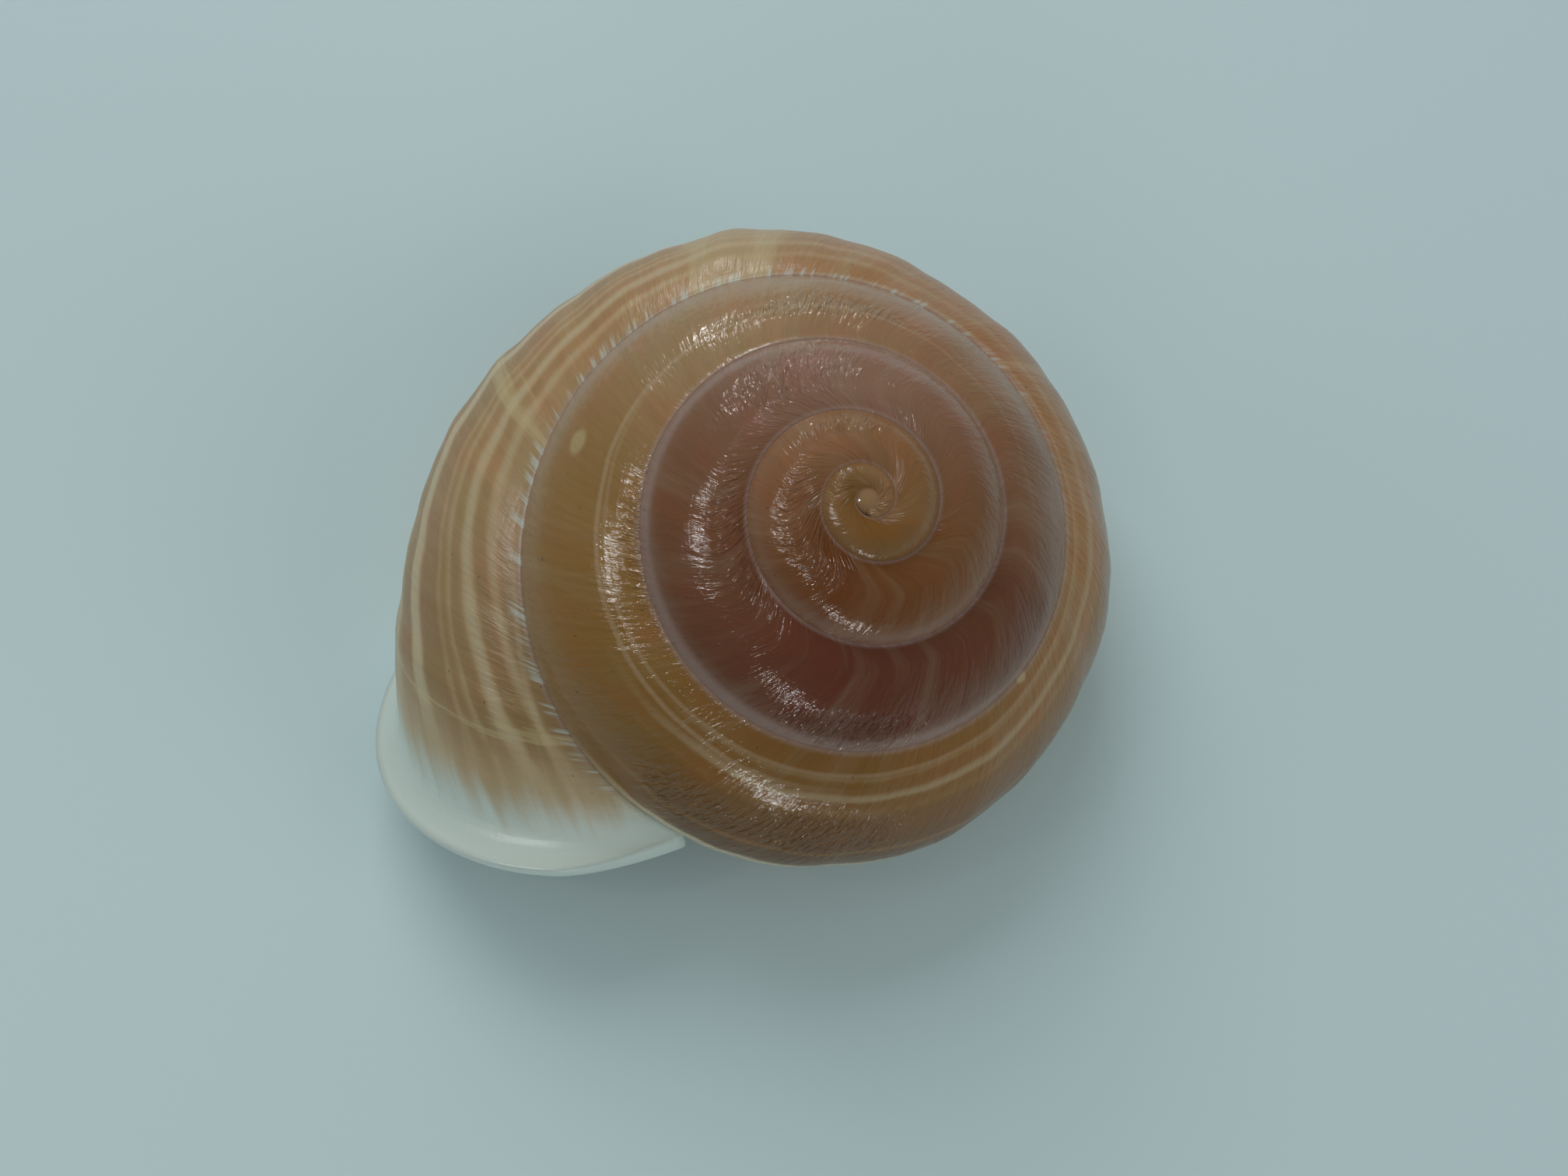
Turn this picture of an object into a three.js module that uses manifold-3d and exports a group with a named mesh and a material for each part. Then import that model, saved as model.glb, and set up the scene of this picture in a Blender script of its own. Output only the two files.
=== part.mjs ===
// Land snail shell, left-handed (sinistral), about five whorls, with a reflected white lip.
// Millimetres, +Z up. The shell is one solid: it lies on its aperture side, as it rests on a table.
//
// The coil is described in its own frame: the coiling axis is +Z with the apex on top, and the tube
// grows anticlockwise seen from the apex. A place on the surface is given by two angles:
//   t    the growth angle along the coil, 0 at the nucleus and GROWTH at the aperture,
//   phi  the angle around the tube's section, 0 outward, 90 degrees towards the apex.

import * as THREE from 'three';
import { mergeVertices } from 'three/addons/utils/BufferGeometryUtils.js';
import Module from 'manifold-3d';

const wasm = await Module();
wasm.setup();

const DEG = Math.PI / 180;
const TURN = 2 * Math.PI;

// ---- driving dimensions ----------------------------------------------------------------------

// the coil
const REACH = 22.46;              // axis to periphery just behind the aperture
const GROWTH = 4.979 * TURN;      // growth angle of the whole coil
const RATE = [0.0185, 0.00285, 0.000186];  // growth rate per radian and how it rises towards the apex
const SPIRE_DROP = 0.8404;        // depth of the last section's centre below the apex, over REACH
const SPIRE_POWER = 1.504;        // above 1: the spire is domed, not a straight cone

// the tube's section, over the whorl's reach
const HALF_WIDTH = [0.4733, -0.0061];      // at the aperture, and change per turn towards the apex
const HALF_HEIGHT = [0.4564, 0.0223];
const BASE_FLATTENING = 0.76;     // height of the lower half over the upper half
const SECTION_POWER = 1.856;      // superellipse power, 2 is an ellipse
const SECTION_TILT = -0.0387;     // radians, the outer side leans towards the apex
const WALL = [0.12, 0.036];       // wall thickness: a constant, and a share of the whorl's reach
const FILM = 0.3;                 // thickness of the film laid on the whorl before, inside the mouth

// the last stretch, where the whorl turns down and swells towards the aperture
const DESCENT_ANGLE = 2.159;
const DESCENT = 0.5488;           // over REACH
const SWELLING = 0.5475;
const OUTWARD = 0.1048;           // over REACH

// the aperture: the lip lies on a slanted plane, so it falls back along the growth angle
const SUTURE_PHI = 74.8 * DEG;    // where the lip meets the whorl before it
const LAG_BOW = -0.547;
const LAG_SLOPE = 2.157;
const LIP_FLARE = 1.85;           // width of the turned-out lip
const COLUMELLA_FLARE = 2.9;      // width of the lip where it leans over the umbilicus
const LIP_RUN = 0.08;             // radians of growth over which the lip turns out
const LIP_DEPTH = 1.25;           // thickness of the turned-out lip
const MOUTH = new THREE.Vector3(0.312, 0.520, -0.795).normalize();   // the way the aperture faces

// facets
const AROUND = 22;                // points around the outer section
const AROUND_LUMEN = 18;          // points around the hollow's section
const LAST_ROWS = 24;             // rings in the last half turn
const STRETCH = 0.47 * TURN;      // length of the stretches that the rest of the tube is made of
const STRETCH_STEP = [7 * DEG, 17 * DEG];    // ring spacing, in the last whorls and near the apex
const LUMEN_ENDS = [-3 * TURN, -0.45 * TURN, 0.35];    // the hollow, from deep in the coil to past the mouth
const LUMEN_STEPS = [18 * DEG, 11 * DEG];    // ring spacing in its two stretches
const NUCLEUS = 0.12 * TURN;      // the coil starts at this growth angle
const BULB_RADIUS = 0.78;         // the rounded tip of the apex, on the axis
const BULB_HEIGHT = -0.28;
const LAP = 2 * DEG;              // stretches of the tube run into each other by this much
const TAPER = 0.1;                // and are this much slimmer there

// the pose at rest: it lies on the base of the last whorl and on the lower lip, apex up
const REST = new THREE.Euler(9.373 * DEG, 13.544 * DEG, -111.162 * DEG, 'XYZ');
const UP = new THREE.Vector3(0, 0, 1).applyQuaternion(new THREE.Quaternion().setFromEuler(REST).invert());
const REST_HEIGHT = 25.2;         // the coil's origin, at the apex, above the table
const LIP_LEVEL = 0.9;            // lip that comes this near the table lies flat on it
const LIP_LEVEL_BLEND = 1.2;      // and above that it rises back to its own line over this height

// ---- the coil ----------------------------------------------------------------------------------

const smooth = (x) => {
  const s = Math.min(Math.max(x, 0), 1);
  return s * s * (3 - 2 * s);
};

const power = (v) => Math.sign(v) * Math.abs(v) ** (2 / SECTION_POWER);

/** Reach of the whorl from the axis at growth angle t, without the last stretch's changes. */
function reach(t) {
  const x = GROWTH - t;
  return REACH * Math.exp(-(RATE[0] * x + RATE[1] * x * x / 2 + RATE[2] * x * x * x / 6));
}

/** Centre and half sizes of the section at growth angle t. */
function section(t) {
  const S = reach(t);
  const turns = (GROWTH - t) / TURN;
  const w = Math.max((t - GROWTH + DESCENT_ANGLE) / DESCENT_ANGLE, 0) ** 2;
  const a = (HALF_WIDTH[0] + HALF_WIDTH[1] * turns) * S;
  const b = (HALF_HEIGHT[0] + HALF_HEIGHT[1] * turns) * S;
  return {
    r: S - a + OUTWARD * REACH * w,
    z: -SPIRE_DROP * REACH * (S / REACH) ** SPIRE_POWER - DESCENT * REACH * w,
    a: a * (1 + SWELLING * w),
    b: b * (1 + SWELLING * w),
  };
}

/** Turns a place in the meridian plane at growth angle t into a point. */
function fromMeridian(t, r, z) {
  const psi = t - GROWTH;
  return new THREE.Vector3(r * Math.cos(psi), r * Math.sin(psi), z);
}

/** The section's centre at growth angle t. */
function centreAt(t) {
  const s = section(t);
  return fromMeridian(t, s.r, s.z);
}

/** The point of the surface at (t, phi), set in from it by inset. */
function surfaceAt(t, phi, inset = 0) {
  const s = section(t);
  const q = power(Math.sin(phi));
  const x = (s.a - inset) * power(Math.cos(phi));
  const y = (q < 0 ? s.b * BASE_FLATTENING - inset : s.b - inset) * q;
  const c = Math.cos(SECTION_TILT), d = Math.sin(SECTION_TILT);
  return fromMeridian(t, s.r + x * c - y * d, s.z + x * d + y * c);
}

/** Below 0 inside the section at growth angle t, grown by margin, at (r, z) in its meridian. */
function sectionField(t, r, z, margin) {
  const s = section(t);
  const c = Math.cos(SECTION_TILT), d = Math.sin(SECTION_TILT);
  const x = (r - s.r) * c + (z - s.z) * d, y = (z - s.z) * c - (r - s.r) * d;
  const half = (y < 0 ? s.b * BASE_FLATTENING : s.b) + margin;
  return Math.abs(x / (s.a + margin)) ** SECTION_POWER + Math.abs(y / half) ** SECTION_POWER - 1;
}

/** Thickness of the wall at growth angle t. */
const wallAt = (t) => WALL[0] + WALL[1] * reach(t);

/** How far the lip falls back along the growth angle at section angle phi (0 at the suture). */
function lag(phi) {
  const back = (p) => LAG_BOW * (1 - Math.cos(Math.min(p, Math.PI))) / 2 + LAG_SLOPE * p / Math.PI;
  const p = Math.atan2(Math.sin(phi), Math.cos(phi));
  if (p <= SUTURE_PHI) return back(SUTURE_PHI - p);
  return back(SUTURE_PHI + Math.PI) * smooth((p - SUTURE_PHI) / (Math.PI - SUTURE_PHI));
}

// ---- solids ------------------------------------------------------------------------------------

const sectionAngles = (count) => Array.from({ length: count }, (_, j) => j * TURN / count);

/** A closed geometry as a solid that can be joined and cut. */
function solidOf(geometry) {
  geometry.deleteAttribute('normal');
  geometry.deleteAttribute('uv');
  const merged = mergeVertices(geometry, 1e-5);
  return new wasm.Manifold(new wasm.Mesh({
    numProp: 3,
    vertProperties: new Float32Array(merged.attributes.position.array),
    triVerts: new Uint32Array(merged.index.array),
  }));
}

/** A closed solid from rings of points, each ring closed, the first and last with a flat fan. */
function solidFromRings(rings) {
  const n = rings[0].length;
  const points = rings.flat();
  const index = [];
  for (let i = 0; i < rings.length - 1; i += 1) {
    for (let j = 0; j < n; j += 1) {
      const k = (j + 1) % n;
      const a = i * n + j, b = i * n + k, c = a + n, d = b + n;
      index.push(a, c, b, b, c, d);
    }
  }
  for (const [first, flip] of [[0, false], [(rings.length - 1) * n, true]]) {
    const centre = new THREE.Vector3();
    for (let j = 0; j < n; j += 1) centre.addScaledVector(points[first + j], 1 / n);
    points.push(centre);
    for (let j = 0; j < n; j += 1) {
      const a = first + j, b = first + (j + 1) % n;
      index.push(points.length - 1, flip ? b : a, flip ? a : b);
    }
  }
  const geometry = new THREE.BufferGeometry();
  geometry.setAttribute('position', new THREE.Float32BufferAttribute(points.flatMap((p) => p.toArray()), 3));
  geometry.setIndex(index);
  return solidOf(geometry);
}

/** The lip's ring: for each section angle its point, and the way outward across the aperture. */
function lipRing(count) {
  const at = (phi) => surfaceAt(GROWTH - lag(phi), phi);
  return sectionAngles(count).map((phi) => {
    const t = GROWTH - lag(phi);
    const point = at(phi);
    const along = at(phi + 0.05).sub(at(phi - 0.05)).normalize();
    const across = MOUTH.clone().cross(along).normalize();
    const radial = point.clone().sub(centreAt(t)).normalize();
    const p = Math.atan2(Math.sin(phi), Math.cos(phi));
    const flat = p > SUTURE_PHI ? 1 : smooth((-10 * DEG - p) / (45 * DEG));
    const outward = radial.lerp(across, flat).normalize();
    return { phi, t, point, outward, flare: flareAt(p) };
  });
}

/** Width of the turned-out lip at section angle p: none at the suture, widest at the columella. */
function flareAt(p) {
  if (p > SUTURE_PHI) return 0.6 * smooth((p - 150 * DEG) / (30 * DEG));
  const wide = smooth((-70 * DEG - p) / (50 * DEG));
  const ends = smooth((SUTURE_PHI - p) / (25 * DEG)) * (1 - 0.8 * smooth((-150 * DEG - p) / (30 * DEG)));
  return (LIP_FLARE + (COLUMELLA_FLARE - LIP_FLARE) * wide) * ends;
}

/** A stretch of the tube from t0 to t1. Its ends taper into the neighbours and cross their surface. */
function stretchOuter(t0, t1, step) {
  const rows = Math.max(Math.round((t1 - t0 - 2 * LAP) / step), 2);
  const ringAt = (t, inset) => sectionAngles(AROUND).map((phi) => surfaceAt(t, phi, inset));
  const rings = [ringAt(t0 - LAP, TAPER)];
  for (let i = 0; i <= rows; i += 1) rings.push(ringAt(t0 + LAP + (t1 - t0 - 2 * LAP) * i / rows, 0));
  rings.push(ringAt(t1 + LAP, TAPER));
  return solidFromRings(rings);
}

/** The last half turn, out to the turned-out lip and its rounded front. */
function lastOuter(t0) {
  const lip = lipRing(AROUND);
  const row = (place) => lip.map(place);
  const rings = [row(({ phi }) => surfaceAt(t0 - LAP, phi, TAPER))];
  const start = t0 + LAP;
  for (let i = 0; i <= LAST_ROWS; i += 1) {
    rings.push(row(({ phi, t }) => surfaceAt(start + (t - LIP_RUN - start) * i / LAST_ROWS, phi)));
  }
  for (const v of [0.5, 0.8, 0.95, 1]) {
    const out = 1 - Math.sqrt(1 - v * v);
    rings.push(row(({ phi, t, outward, flare }) =>
      levelled(surfaceAt(t - LIP_RUN * (1 - v), phi).addScaledVector(outward, flare * out))));
  }
  for (const [out, front] of [[1.0, 0.45], [0.8, 0.85], [0.15, 1]]) {
    rings.push(row(({ point, outward, flare }) => levelled(point.clone()
      .addScaledVector(outward, flare * out)
      .addScaledVector(MOUTH, LIP_DEPTH * front))));
  }
  return solidFromRings(rings);
}

/** Lays a point of the lip on the table where it comes near it. */
function levelled(point) {
  const height = point.dot(UP) + REST_HEIGHT;
  return point.addScaledVector(UP, height * (smooth((height - LIP_LEVEL) / LIP_LEVEL_BLEND) - 1));
}

/** How far one can go from (r, z) along (dr, dz) while free(r, z) holds. */
function wayFrom(r, z, dr, dz, free) {
  let far = 0;
  while (far < 40 && free(r + dr * far, z + dz * far)) far += 0.25;
  let near = Math.max(far - 0.25, 0);
  for (let i = 0; i < 16; i += 1) {
    const mid = (near + far) / 2;
    if (free(r + dr * mid, z + dz * mid)) near = mid; else far = mid;
  }
  return near;
}

/** The hollow's wall at growth angle t, seen at angle theta from the middle of its crescent. */
function lumenAt(t, theta) {
  const here = section(t), before = section(t - TURN);
  const length = Math.hypot(here.r - before.r, here.z - before.z);
  const dr = (here.r - before.r) / length, dz = (here.z - before.z) / length;
  const inside = (r, z) => sectionField(t, r, z, -wallAt(t)) < 0;
  const taken = (r, z) => sectionField(t - TURN, r, z, FILM) < 0;
  const outer = wayFrom(here.r, here.z, dr, dz, inside);
  const inner = wayFrom(before.r, before.z, dr, dz, taken) - length;
  const r0 = here.r + dr * (outer + inner) / 2;
  const z0 = here.z + dz * (outer + inner) / 2;
  const c = Math.cos(theta), d = Math.sin(theta);
  const far = wayFrom(r0, z0, c, d, (r, z) => inside(r, z) && !taken(r, z));
  return fromMeridian(t, r0 + c * far, z0 + d * far);
}

/** The hollow, from deep in the coil out through the mouth, as one bent tube. */
function lumenSolid() {
  const rings = [];
  LUMEN_STEPS.forEach((step, part) => {
    const from = LUMEN_ENDS[part], length = LUMEN_ENDS[part + 1] - from;
    const rows = Math.round(length / step);
    for (let i = part; i <= rows; i += 1) {
      const t = GROWTH + from + length * i / rows;
      rings.push(sectionAngles(AROUND_LUMEN).map((theta) => lumenAt(t, theta)));
    }
  });
  return solidFromRings(rings);
}

/** The whole shell: the stretches of the tube joined, less the hollow. */
function shellSolid() {
  const last = GROWTH - TURN / 2;
  let shell = lastOuter(last);
  for (let t1 = last; t1 > NUCLEUS; t1 -= STRETCH) {
    const t0 = Math.max(t1 - STRETCH, NUCLEUS);
    const step = THREE.MathUtils.lerp(...STRETCH_STEP, smooth((GROWTH - t1) / (3.5 * TURN)));
    shell = shell.add(stretchOuter(t0, t1, step));
  }
  const bulb = new THREE.SphereGeometry(BULB_RADIUS, 14, 9).translate(0.1, 0, BULB_HEIGHT);
  return shell.add(solidOf(bulb)).subtract(lumenSolid()).simplify(0.01);
}

// ---- the part ----------------------------------------------------------------------------------

function geometryOf(solid) {
  const mesh = solid.getMesh();
  const geometry = new THREE.BufferGeometry();
  geometry.setAttribute('position', new THREE.BufferAttribute(new Float32Array(mesh.vertProperties), 3));
  geometry.setIndex(new THREE.BufferAttribute(new Uint32Array(mesh.triVerts), 1));
  geometry.computeVertexNormals();
  return geometry;
}

const material = new THREE.MeshStandardMaterial({ color: 0x8a6a45, roughness: 0.35, metalness: 0 });
const shell = new THREE.Mesh(geometryOf(shellSolid()), material);
shell.name = 'shell';
shell.rotation.copy(REST);
const box = new THREE.Box3().setFromObject(shell, true);
shell.position.set(-(box.min.x + box.max.x) / 2, -(box.min.y + box.max.y) / 2, -box.min.z);

const part = new THREE.Group();
part.add(shell);
export default part;
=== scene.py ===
"""Looks of a left-coiled land snail shell: its surface, its glossy banded finish, and a plain studio.

The shell grew as one piece, so it is one mesh. Its surface is a grid over two parameters: the growth
angle along the coil, and the place around the tube's section. Lengths of the coil are millimetres in
its own frame, where the coiling axis is +Z with the apex on top and the tube grows anticlockwise seen
from the apex; they become metres when the coil is laid in its pose at rest.
"""

import logging
import math
from dataclasses import dataclass
from enum import Enum
from typing import Sequence

import bpy
import numpy as np
from mathutils import Matrix, Vector

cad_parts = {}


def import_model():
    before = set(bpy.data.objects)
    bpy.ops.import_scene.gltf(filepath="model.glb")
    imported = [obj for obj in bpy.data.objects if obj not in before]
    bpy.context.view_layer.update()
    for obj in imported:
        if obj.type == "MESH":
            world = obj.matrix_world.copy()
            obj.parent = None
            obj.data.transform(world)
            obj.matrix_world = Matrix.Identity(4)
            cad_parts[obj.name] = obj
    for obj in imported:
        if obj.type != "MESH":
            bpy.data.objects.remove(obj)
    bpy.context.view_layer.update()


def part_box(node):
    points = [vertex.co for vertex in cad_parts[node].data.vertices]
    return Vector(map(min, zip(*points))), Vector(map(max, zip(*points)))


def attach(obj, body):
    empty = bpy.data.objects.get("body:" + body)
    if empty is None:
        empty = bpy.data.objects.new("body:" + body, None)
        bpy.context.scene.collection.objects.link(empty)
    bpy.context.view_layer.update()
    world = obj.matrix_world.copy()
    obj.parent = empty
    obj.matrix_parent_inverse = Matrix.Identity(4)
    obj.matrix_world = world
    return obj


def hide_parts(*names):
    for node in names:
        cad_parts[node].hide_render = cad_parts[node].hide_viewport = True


LOG = logging.getLogger("snail_shell")

DEG = math.pi / 180
TURN = 2 * math.pi
MM = 0.001

Array = np.ndarray
Colour = tuple[float, float, float]
Socket = bpy.types.NodeSocket
MEASURES = ("turn", "phi", "line", "line_turn", "edge", "suture", "cover", "around", "inner", "callus")


def smooth(x: Array | float) -> Array:
    """Smooth step: 0 below 0, 1 above 1, 3x2 - 2x3 between."""
    s = np.clip(x, 0.0, 1.0)
    return s * s * (3 - 2 * s)


def unit(v: Array) -> Array:
    """Vectors of length 1 along v's last axis."""
    return v / np.maximum(np.linalg.norm(v, axis=-1, keepdims=True), 1e-12)


def pairs(u: Array | float, v: Array | float) -> Array:
    """Map places from their two coordinates."""
    return np.stack(np.broadcast_arrays(u, v), axis=-1)


def grid_faces(rows: int, n: int) -> Array:
    """Quads of a grid of rings that close on themselves.

    Args:
        rows: number of rings.
        n: points of a ring.
    Returns:
        Four point numbers for each face.
    """
    i, j = np.meshgrid(np.arange(rows - 1), np.arange(n), indexing="ij")
    k = (j + 1) % n
    return np.stack([i * n + j, (i + 1) * n + j, (i + 1) * n + k, i * n + k], axis=-1).reshape(-1, 4)


def fan(pole: int, start: int, n: int, last: bool) -> Array:
    """Triangles between a pole and the ring of n points from start, turned round at the last ring.

    Args:
        pole: number of the pole.
        start: number of the ring's first point.
        n: points of the ring.
        last: True at the last ring, so that the faces point outwards there too.
    Returns:
        Three point numbers for each face.
    """
    now = np.arange(n)
    after = (now + 1) % n
    first, second = (after, now) if last else (now, after)
    return np.stack([np.full(n, pole), start + first, start + second], axis=-1)


@dataclass(frozen=True)
class Coil:
    """The spiral tube: how its reach, place and section change with the growth angle t."""

    reach_end: float = 22.46
    growth: float = 4.979 * TURN
    rate: tuple[float, float, float] = (0.0185, 0.00285, 0.000186)
    spire_drop: float = 0.8404
    spire_power: float = 1.504
    half_width: tuple[float, float] = (0.4733, -0.0061)
    half_height: tuple[float, float] = (0.4564, 0.0223)
    base_flattening: float = 0.76
    section_power: float = 1.856
    section_tilt: float = -0.0387
    descent_angle: float = 2.159
    descent: float = 0.5488
    swelling: float = 0.5475
    outward: float = 0.1048
    wall: tuple[float, float] = (0.12, 0.036)

    def reach(self, t: Array) -> Array:
        """Reach from the axis: end reach times e to minus the growth rate summed back from the end.

        Args:
            t: growth angles.
        Returns:
            Millimetres from the axis to the section's far side.
        """
        x = self.growth - t
        k = self.rate
        return self.reach_end * np.exp(-(k[0] * x + k[1] * x * x / 2 + k[2] * x**3 / 6))

    def section(self, t: Array) -> tuple[Array, Array, Array, Array]:
        """Centre (radius, height) and half sizes (width, height) of the section.

        The centre drops as a power of the reach. Over the last stretch the square of the way gone
        moves the section down and outward and swells it.

        Args:
            t: growth angles.
        Returns:
            Radius and height of the centre, half width and half height.
        """
        s = self.reach(t)
        turns = (self.growth - t) / TURN
        w = np.maximum((t - self.growth + self.descent_angle) / self.descent_angle, 0) ** 2
        a = (self.half_width[0] + self.half_width[1] * turns) * s
        b = (self.half_height[0] + self.half_height[1] * turns) * s
        end = self.reach_end
        r = s - a + self.outward * end * w
        z = -self.spire_drop * end * (s / end) ** self.spire_power - self.descent * end * w
        return r, z, a * (1 + self.swelling * w), b * (1 + self.swelling * w)

    def wall_at(self, t: Array) -> Array:
        """Thickness of the wall: a constant and a share of the reach."""
        return self.wall[0] + self.wall[1] * self.reach(t)

    def power(self, v: Array) -> Array:
        """Superellipse power of a sine or cosine, keeping its sign."""
        return np.sign(v) * np.abs(v) ** (2 / self.section_power)

    def meridian(self, t: Array, phi: Array, inset: Array | float = 0.0) -> tuple[Array, Array]:
        """Radius and height of the section's outline at angle phi, set in by inset.

        A superellipse whose lower half is flattened, leant by the section's tilt.

        Args:
            t: growth angles.
            phi: section angles, 0 away from the axis and a quarter turn at the top.
            inset: millimetres inwards.
        Returns:
            Radius and height.
        """
        r, z, a, b = self.section(t)
        q = self.power(np.sin(phi))
        x = (a - inset) * self.power(np.cos(phi))
        y = (np.where(q < 0, b * self.base_flattening, b) - inset) * q
        c, d = math.cos(self.section_tilt), math.sin(self.section_tilt)
        return r + x * c - y * d, z + x * d + y * c

    def local(self, t: Array, r: Array, z: Array, margin: float) -> tuple[Array, Array]:
        """A meridian place over the half sizes of the section grown by margin.

        Args:
            t: growth angles.
            r: radius.
            z: height.
            margin: millimetres by which the section is grown.
        Returns:
            The place across and along the section's height, 1 at its outline.
        """
        rc, zc, a, b = self.section(t)
        c, d = math.cos(self.section_tilt), math.sin(self.section_tilt)
        x, y = (r - rc) * c + (z - zc) * d, (z - zc) * c - (r - rc) * d
        return x / (a + margin), y / (np.where(y < 0, b * self.base_flattening, b) + margin)

    def outside(self, t: Array, r: Array, z: Array, margin: float) -> Array:
        """True where (r, z) is outside the section at t grown by margin.

        Args:
            t: growth angles.
            r: radius.
            z: height.
            margin: millimetres by which the section is grown.
        Returns:
            True or False for each place.
        """
        x, y = self.local(t, r, z, margin)
        n = self.section_power
        return np.abs(x) ** n + np.abs(y) ** n > 1

    def angle_on(self, t: Array, r: Array, z: Array, margin: float) -> Array:
        """Section angle of a place on the outline of the section at t grown by margin.

        Args:
            t: growth angles.
            r: radius.
            z: height.
            margin: millimetres by which the section is grown.
        Returns:
            Section angles.
        """
        x, y = self.local(t, r, z, margin)
        n = self.section_power / 2
        return np.arctan2(np.sign(y) * np.abs(y) ** n, np.sign(x) * np.abs(x) ** n)

    def point(self, t: Array, r: Array, z: Array) -> Array:
        """Turns a meridian place at growth angle t into a point."""
        psi = t - self.growth
        return np.stack([r * np.cos(psi), r * np.sin(psi), z], axis=-1)


class Seams:
    """Where each whorl meets the one before it, above and below, for one layer of the wall.

    The seams are found once on an even row of growth angles and read off by interpolation.
    """

    samples: int = 2400
    scanned: int = 260
    halvings: int = 24
    highest: float = 170.0 * DEG
    lowest: float = -262.0 * DEG

    def __init__(self, coil: Coil, deep: float, grown: float, first: float, past: float) -> None:
        """Finds both seams.

        Args:
            coil: the spiral tube.
            deep: 1 for the inner face of the wall, 0 for the outer.
            grown: by how much the whorl before is grown at the lip.
            first: lowest growth angle.
            past: how far past the lip the seams are wanted, in radians.
        """
        self.coil, self.deep, self.grown = coil, deep, grown
        self.t = np.linspace(first, coil.growth + past, self.samples)
        self.top = self._cross(self.highest)
        self.low = self._cross(self.lowest)
        self.before_top = self._before(self.top)
        self.before_low = self._before(self.low)

    def inset(self, t: Array) -> Array:
        """How far this layer is set in from the outer face."""
        return self.deep * self.coil.wall_at(t)

    def margin(self, t: Array) -> Array:
        """By how much the whorl before is grown at t: less on the small early whorls."""
        return self.grown * np.sqrt(self.coil.reach(t) / self.coil.reach_end)

    def _cross(self, far: float) -> Array:
        """Bisects between angle 0, outside the whorl before, and the first scanned angle inside it.

        Args:
            far: section angle at which the scan ends.
        Returns:
            Section angle of the seam at every growth angle of the row.
        """
        t = self.t[:, None]
        scan = np.linspace(0.0, far, self.scanned)[None, :]
        r, z = self.coil.meridian(t, scan, self.inset(t))
        first = np.argmin(self.coil.outside(t - TURN, r, z, self.margin(t)), axis=1)
        high = scan[0, first]
        low = scan[0, np.maximum(first - 1, 0)]
        for _ in range(self.halvings):
            mid = (low + high) / 2
            r, z = self.coil.meridian(self.t, mid, self.inset(self.t))
            out = self.coil.outside(self.t - TURN, r, z, self.margin(self.t))
            low, high = np.where(out, mid, low), np.where(out, high, mid)
        return low

    def _before(self, phi: Array) -> Array:
        """The seam's angle on the whorl before."""
        r, z = self.coil.meridian(self.t, phi, self.inset(self.t))
        return self.coil.angle_on(self.t - TURN, r, z, self.margin(self.t))

    def at(self, t: Array, values: Array) -> Array:
        """One of the seams' angles at growth angles t."""
        return np.interp(t, self.t, values)

    def places(self, t: Array, share: Array, shown: Array) -> tuple[Array, Array]:
        """Points of the layer.

        Shown columns run over the section from the lower seam to the upper one; the others go back
        along the outline of the whorl before, so that each ring closes as a crescent.

        Args:
            t: growth angles, one for each place.
            share: way gone along the shown or the covered arc, 0 to 1.
            shown: True on the shown arc.
        Returns:
            Points, and section angles.
        """
        low, top = self.at(t, self.low), self.at(t, self.top)
        phi = np.where(shown, low + share * (top - low), top + share * (low - top))
        r0, z0 = self.coil.meridian(t, phi, self.inset(t))
        start, stop = self.at(t, self.before_top), self.at(t, self.before_low)
        r1, z1 = self.coil.meridian(t - TURN, start + share * (stop - start), -self.margin(t))
        return self.coil.point(t, np.where(shown, r0, r1), np.where(shown, z0, z1)), phi


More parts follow.
